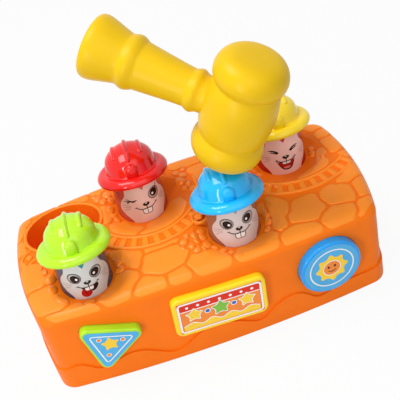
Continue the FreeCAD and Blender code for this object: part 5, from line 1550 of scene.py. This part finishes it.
@dataclass
class FrontPrints:
    """Printed faces of the two buttons and the plate, with plain motifs."""

    shape: BaseShape
    button_proud: float = 7.3
    plate_proud: float = 6.1
    round_place: Point2 = (92.5, 46.6)
    triangle_place: Point2 = (-94.2, 46.6)
    triangle_turn: float = -18.5
    plate_place: Point2 = (-2.3, 48.0)
    plate_turn: float = -3.0
    ring_radius: float = 19.0
    sun: Point2 = (15.5, 10.5)
    sun_face: float = 7.6
    triangle_reach: float = 20.8
    dot: float = 1.9
    border_half: Point2 = (34.2, 15.9)
    panel_half: Point2 = (32.9, 11.0)
    band_foot: float = 7.6
    sand_foot: float = -14.4

    def ink_on(self, name: str, place: Point2, turn_deg: float, proud: float) -> Print:
        """Start a print that lies flat on a piece of the front wall.

        Args:
            name: The piece's name.
            place: Its middle on the wall.
            turn_deg: How far it is turned.
            proud: How far its face stands out of the wall.

        Returns:
            The empty print.
        """
        spot = self.shape.wall(place[0], place[1], turn_deg)
        return Print(MeshDraft(name), lambda u, v, lift: spot @ Vector((u, v, proud + lift + 0.01)))

    def round_print(self) -> bpy.types.Object:
        """White ring round a plain smiling sun.

        Returns:
            The new piece.
        """
        ink = self.ink_on("round_button_print", self.round_place, 0.0, self.button_proud)
        face = (self.sun_face, self.sun_face)
        ink.ring(ORIGIN, (self.ring_radius, self.ring_radius), 1.1, INK_WHITE, 1, 72)
        ink.blob(ORIGIN, star(*self.sun, 8), INK_YELLOW, 1, 3, 1)
        ink.disc(ORIGIN, face, INK_ORANGE, 2, 3, 40)
        ink.ring(ORIGIN, face, 0.7, INK_WHITE, 3, 40)
        for side in (-1, 1):
            ink.disc((side * 2.8, 1.6), (1.0, 1.3), INK_DARK, 3, 2, 20)
        smile = [(-3.4, -2.0), (-1.6, -3.4), (1.6, -3.4), (3.4, -2.0)]
        ink.curve(ORIGIN, smile, [0.4, 0.9, 0.4], INK_DARK, 3)
        return self.finish_print(ink, "round_button")

    def triangle_print(self) -> bpy.types.Object:
        """White triangle line round three dots and a small star.

        Returns:
            The new piece.
        """
        ink = self.ink_on("triangle_button_print", self.triangle_place, self.triangle_turn, self.button_proud)
        corners = [polar(ORIGIN, self.triangle_reach, math.radians(angle)) for angle in (30, 150, 270)]
        line = []
        for index, here in enumerate(corners):
            there = corners[(index + 1) % 3]
            line.extend(between(here, there, 0.06 + 0.88 * step / 7) for step in range(8))
        ink.stroke(smooth_loop(line, 1), [1.0], INK_WHITE, 1, True)
        ink.blob((0, 2.0), star(8.6, 4.2, 5, 90 - self.triangle_turn), INK_YELLOW, 1, 3, 1)
        for spot in ((-9.5, 6.5), (9.5, 6.5), (0, -11.0)):
            ink.disc(spot, (self.dot, self.dot), INK_ORANGE, 1, 2, 24)
            ink.ring(spot, (self.dot, self.dot), 0.5, INK_WHITE, 2, 24)
        return self.finish_print(ink, "triangle_button")

    def plate_print(self) -> bpy.types.Object:
        """White border round a row of stars, dots and a wave, where a name would be.

        Returns:
            The new piece.
        """
        ink = self.ink_on("plate_print", self.plate_place, self.plate_turn, self.plate_proud)
        ink.stroke(self.box(ORIGIN, self.border_half, 2.6), [1.8], INK_WHITE, 1, True)
        ink.fill(self.box((0, -3.6), self.panel_half, 1.2), INK_ORANGE, 1, 4)
        ink.stroke([(u, self.band_foot) for u in (-33.0, 0.0, 33.0)], [0.9], INK_WHITE, 2)
        wave = [(-32, -9.4), (-24, -6.8), (-16, -10.4), (-8, -6.8), (0, -10.4), (8, -6.8), (16, -10.4),
                (24, -6.8), (32, -9.4)]
        path = smooth_path(wave, 8)
        lift = 2 * ink.layer_mm
        ink.draft.rings([[ink.surface(u, v, lift) for u, v in path],
                         [ink.surface(u, self.sand_foot, lift) for u, _ in path]], INK_YELLOW, False)
        ink.stroke(path, [0.8], INK_WHITE, 3)
        for u, size, finish in ((-22, 7.6, INK_YELLOW), (0, 8.6, INK_GREEN), (22, 7.6, INK_YELLOW)):
            ink.blob((u, 1.6), star(size + 1.1, (size + 1.1) * 0.5, 5), INK_WHITE, 4, 3, 1)
            ink.blob((u, 1.6), star(size, size * 0.48, 5), finish, 5, 3, 1)
        for u in (-11, 11):
            ink.disc((u, 1.8), (2.6, 2.6), INK_WHITE, 4, 2)
            ink.disc((u, 1.8), (self.dot, self.dot), INK_BLUE, 5, 2)
        for u in range(-27, 28, 9):
            ink.disc((u, 11.3), (1.3, 1.3), INK_WHITE, 2, 2, 20)
        return self.finish_print(ink, "base")

    def box(self, centre: Point2, half: Point2, radius: float) -> list[Point2]:
        """Outline of a rectangle with rounded corners."""
        outline = []
        for side_u, side_v, start in ((1, 1, 0), (-1, 1, 90), (-1, -1, 180), (1, -1, 270)):
            corner = (centre[0] + side_u * (half[0] - radius), centre[1] + side_v * (half[1] - radius))
            outline.extend(polar(corner, radius, math.radians(start + 15 * step)) for step in range(7))
        return outline

    def finish_print(self, ink: Print, body: str) -> bpy.types.Object:
        """Make the piece of a print.

        Args:
            ink: The print.
            body: The body that it rides on.

        Returns:
            The new piece.
        """
        piece = ink.draft.build()
        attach(piece, body)
        return piece

    def build(self) -> list[bpy.types.Object]:
        """Make the three prints."""
        return [self.round_print(), self.triangle_print(), self.plate_print()]


@dataclass
class FrameFinishes:
    """Finishes of the pieces that keep the frame's own shape."""

    by_slot: dict[str, Finish]

    def dress(self) -> int:
        """Give every frame piece its finish.

        Returns:
            How many pieces were dressed.
        """
        slots = {entry["node"]: entry["material_slot"] for entry in frame["record"]["subparts"]}
        for node, piece in frame["nodes"].items():
            material = self.by_slot[slots[node]].material()
            if not piece.data.materials:
                piece.data.materials.append(material)
            for slot in piece.material_slots:
                slot.material = material
        return len(frame["nodes"])


@dataclass
class Studio:
    """Floor, lights and the photograph's camera."""

    focal_px: float = 969.608
    frame_px: float = 400.0
    sensor_mm: float = 36.0
    azimuth: float = 0.113870
    elevation: float = 0.724659
    roll: float = -0.252655
    shift: Point2 = (-6.0973, 71.2765)
    distance: float = 861.685
    floor_reach: float = 3000.0
    floor_glow: float = 0.93
    ambient: float = 0.42
    aim: Spot = (0.0, 0.0, 0.08)
    clip_m: Point2 = (0.01, 20.0)
    softboxes: tuple[tuple[str, Spot, Point2, float], ...] = (
        ("window_softbox", (-0.42, 0.1, 1.3), (0.7, 0.7), 11.4),
        ("front_softbox", (-0.82, -0.92, 0.4), (0.17, 0.8), 4.6),
        ("camera_softbox", (0.1, -1.35, 1.3), (1.5, 1.5), 8.4))

    def camera(self) -> bpy.types.Object:
        """Place the camera at the photograph's viewpoint.

        Returns:
            The camera.
        """
        look = Vector((math.sin(self.azimuth) * math.cos(self.elevation),
                       math.cos(self.azimuth) * math.cos(self.elevation), -math.sin(self.elevation)))
        level = Vector((math.cos(self.azimuth), -math.sin(self.azimuth), 0.0))
        upright = level.cross(look)
        right = level * math.cos(self.roll) + upright * math.sin(self.roll)
        top = upright * math.cos(self.roll) - level * math.sin(self.roll)
        spot = right * self.shift[0] + top * self.shift[1] - look * self.distance
        data = bpy.data.cameras.new("photo_camera")
        data.sensor_width = self.sensor_mm
        data.lens = self.focal_px * self.sensor_mm / self.frame_px
        data.clip_start, data.clip_end = self.clip_m
        camera = bpy.data.objects.new("photo_camera", data)
        turn = Matrix((right, top, -look)).transposed().to_4x4()
        camera.matrix_world = Matrix.Translation(spot * MM) @ turn
        bpy.context.scene.collection.objects.link(camera)
        bpy.context.scene.camera = camera
        return camera

    def softbox(self, name: str, spot: Spot, size: Point2, power: float) -> None:
        """Hang a softbox.

        Args:
            name: The lamp's name.
            spot: Where it hangs, in metres.
            size: Its width and height, in metres.
            power: Its power, in watts.
        """
        data = bpy.data.lights.new(name, "AREA")
        data.shape = "RECTANGLE"
        data.size, data.size_y = size
        data.energy = power
        lamp = bpy.data.objects.new(name, data)
        lamp.location = spot
        lamp.rotation_euler = (Vector(self.aim) - Vector(spot)).to_track_quat("-Z", "Y").to_euler()
        bpy.context.scene.collection.objects.link(lamp)

    def seen_directly(self, tree: bpy.types.NodeTree) -> bpy.types.NodeSocket:
        """Add the test for rays that come from the camera, a reflection or clear material.

        Args:
            tree: The node tree that it is added to.

        Returns:
            The output that is 1 for such a ray and 0 for any other.
        """
        rays = tree.nodes.new("ShaderNodeLightPath")
        either = rays.outputs["Is Camera Ray"]
        for kind in ("Is Glossy Ray", "Is Transmission Ray"):
            widest = add_node(tree, "ShaderNodeMath", {0: either, 1: rays.outputs[kind]})
            widest.operation = "MAXIMUM"
            either = widest.outputs["Value"]
        return either

    def floor(self) -> None:
        """Lay a plain pale floor that keeps the object's shadow."""
        draft = MeshDraft("studio_floor")
        reach = self.floor_reach
        white = plastic("studio_white", (0.7, 0.7, 0.7), 0.995, roughness=0.9, specular=0.1, patch_mm=900.0)
        draft.rings([[Vector((-reach, -reach, 0)), Vector((reach, -reach, 0))],
                     [Vector((-reach, reach, 0)), Vector((reach, reach, 0))]], white, False)
        piece = draft.build()
        tree = white.material().node_tree
        glow = add_node(tree, "ShaderNodeEmission", {"Strength": 1.0})
        share = add_node(tree, "ShaderNodeMath", {0: self.seen_directly(tree), 1: self.floor_glow})
        share.operation = "MULTIPLY"
        blend = add_node(tree, "ShaderNodeMixShader", {
            "Fac": share.outputs["Value"], 1: tree.nodes["Principled BSDF"].outputs["BSDF"],
            2: glow.outputs["Emission"]})
        feed(tree, tree.nodes["Material Output"], {"Surface": blend.outputs["Shader"]})

    def world(self) -> None:
        """Set an even pale surround, white where it is seen and dimmer as a light."""
        world = bpy.data.worlds.new("studio_world")
        bpy.context.scene.world = world
        world.use_nodes = True
        tree = world.node_tree
        ambient = tree.nodes["Background"]
        feed(tree, ambient, {"Color": WHITE, "Strength": self.ambient})
        white = add_node(tree, "ShaderNodeBackground", {"Color": WHITE, "Strength": 1.0})
        blend = add_node(tree, "ShaderNodeMixShader", {
            "Fac": self.seen_directly(tree), 1: ambient.outputs["Background"],
            2: white.outputs["Background"]})
        feed(tree, tree.nodes["World Output"], {"Surface": blend.outputs["Shader"]})

    def build(self) -> None:
        """Set up the whole studio."""
        self.camera()
        self.floor()
        self.world()
        for box in self.softboxes:
            self.softbox(*box)
        bpy.context.scene.view_settings.view_transform = "Standard"


HEAD_FINISHES = {
    "green": head_finish("green", (0.07, 0.09, 0.15), 0.8),
    "red": head_finish("red", (0.62, 0.1, 0.07)),
    "blue": head_finish("blue", (0.36, 0.15, 0.08)),
    "yellow": head_finish("yellow", (0.55, 0.015, 0.008)),
}
# The red and yellow patches are lighter than their print: painted light that lifts the shade cast by the hats
# and the hammer.
PATCH_FINISHES = {
    "green": patch_finish("green", (0.64, 0.65, 0.64)),
    "red": patch_finish("red", (0.85, 0.63, 0.57)),
    "blue": patch_finish("blue", (0.7, 0.6, 0.58)),
    "yellow": patch_finish("yellow", (0.9, 0.62, 0.57)),
}
HAT_FINISHES = {
    "green": hat_finish("green", (0.46, 0.8, 0.018), 0.95),
    "red": hat_finish("red", (0.82, 0.01, 0.008), 0.93),
    "blue": hat_finish("blue", (0.006, 0.47, 0.96), 0.93),
    "yellow": hat_finish("yellow", (0.95, 0.68, 0.008), 0.96),
}
TUFTS = {
    "green": plastic("teal_tuft", (0.01, 0.25, 0.27), 0.9, roughness=0.3),
    "red": plastic("coral_tuft", (0.62, 0.14, 0.12), 0.9, roughness=0.3),
    "blue": plastic("brown_tuft", (0.4, 0.24, 0.19), 0.9, roughness=0.3),
    "yellow": plastic("red_tuft", (0.6, 0.02, 0.012), 0.9, roughness=0.3),
}
EXPRESSIONS = {
    "green": (Mouth.TONGUE, Eyes.OPEN, 1.0, 101.4),
    "red": (Mouth.BUCK_TEETH, Eyes.WINK, 2.2, 102.9),
    "blue": (Mouth.BUCK_TEETH, Eyes.OPEN, 0.4, 103.2),
    "yellow": (Mouth.LAUGH, Eyes.SQUINT, -0.6, 102.6),
}


def slot_finishes() -> dict[str, Finish]:
    """Which finish belongs to each material slot of the record."""
    own = (HOUSING_ORANGE, COVER_ORANGE, BLACK_RUBBER, ZINC_STEEL, SPRING_STEEL, CONTACT_METAL,
           WHITE_PLASTIC, BLACK_PLASTIC, BOARD_GREEN, LAMP_CLEAR, BUTTON_BLUE, BUTTON_LIME, LABEL_BLUE,
           PLATE_YELLOW, SPEAKER_BLACK, HAMMER_YELLOW)
    finishes = {finish.name: finish for finish in own}
    finishes["plate_label_red"] = LABEL_RED
    finishes["battery_can"] = BATTERY_SLEEVE
    for name in HAT_FINISHES:
        finishes[name + "_head"] = HEAD_FINISHES[name]
        finishes[name + "_hat"] = HAT_FINISHES[name]
    return finishes


def main() -> None:
    """Dress the frame, add the pieces, and set up the studio."""
    logging.basicConfig(level=logging.INFO, format="%(name)s: %(message)s")
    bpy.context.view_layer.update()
    Studio().build()
    LOG.info("studio ready")
    LOG.info("dressed %d frame pieces", FrameFinishes(slot_finishes()).dress())
    shape = BaseShape()
    for piece in CobbleTop(shape).build():
        LOG.info("made %s", piece.name)
    for name, x, y in shape.moles:
        hat = HardHat(name, HAT_FINISHES[name], x, y).build()
        face = MoleFace(name, x, y, PATCH_FINISHES[name], TUFTS[name], *EXPRESSIONS[name]).build()
        coil = ReturnSpring(name, x, y).build()
        LOG.info("made %s, %s and %s", hat.name, face.name, coil.name)
    LOG.info("made %s", ToyHammer().build().name)
    for piece in FrontPrints(shape).build():
        LOG.info("made %s", piece.name)


if __name__ == "__main__":
    main()
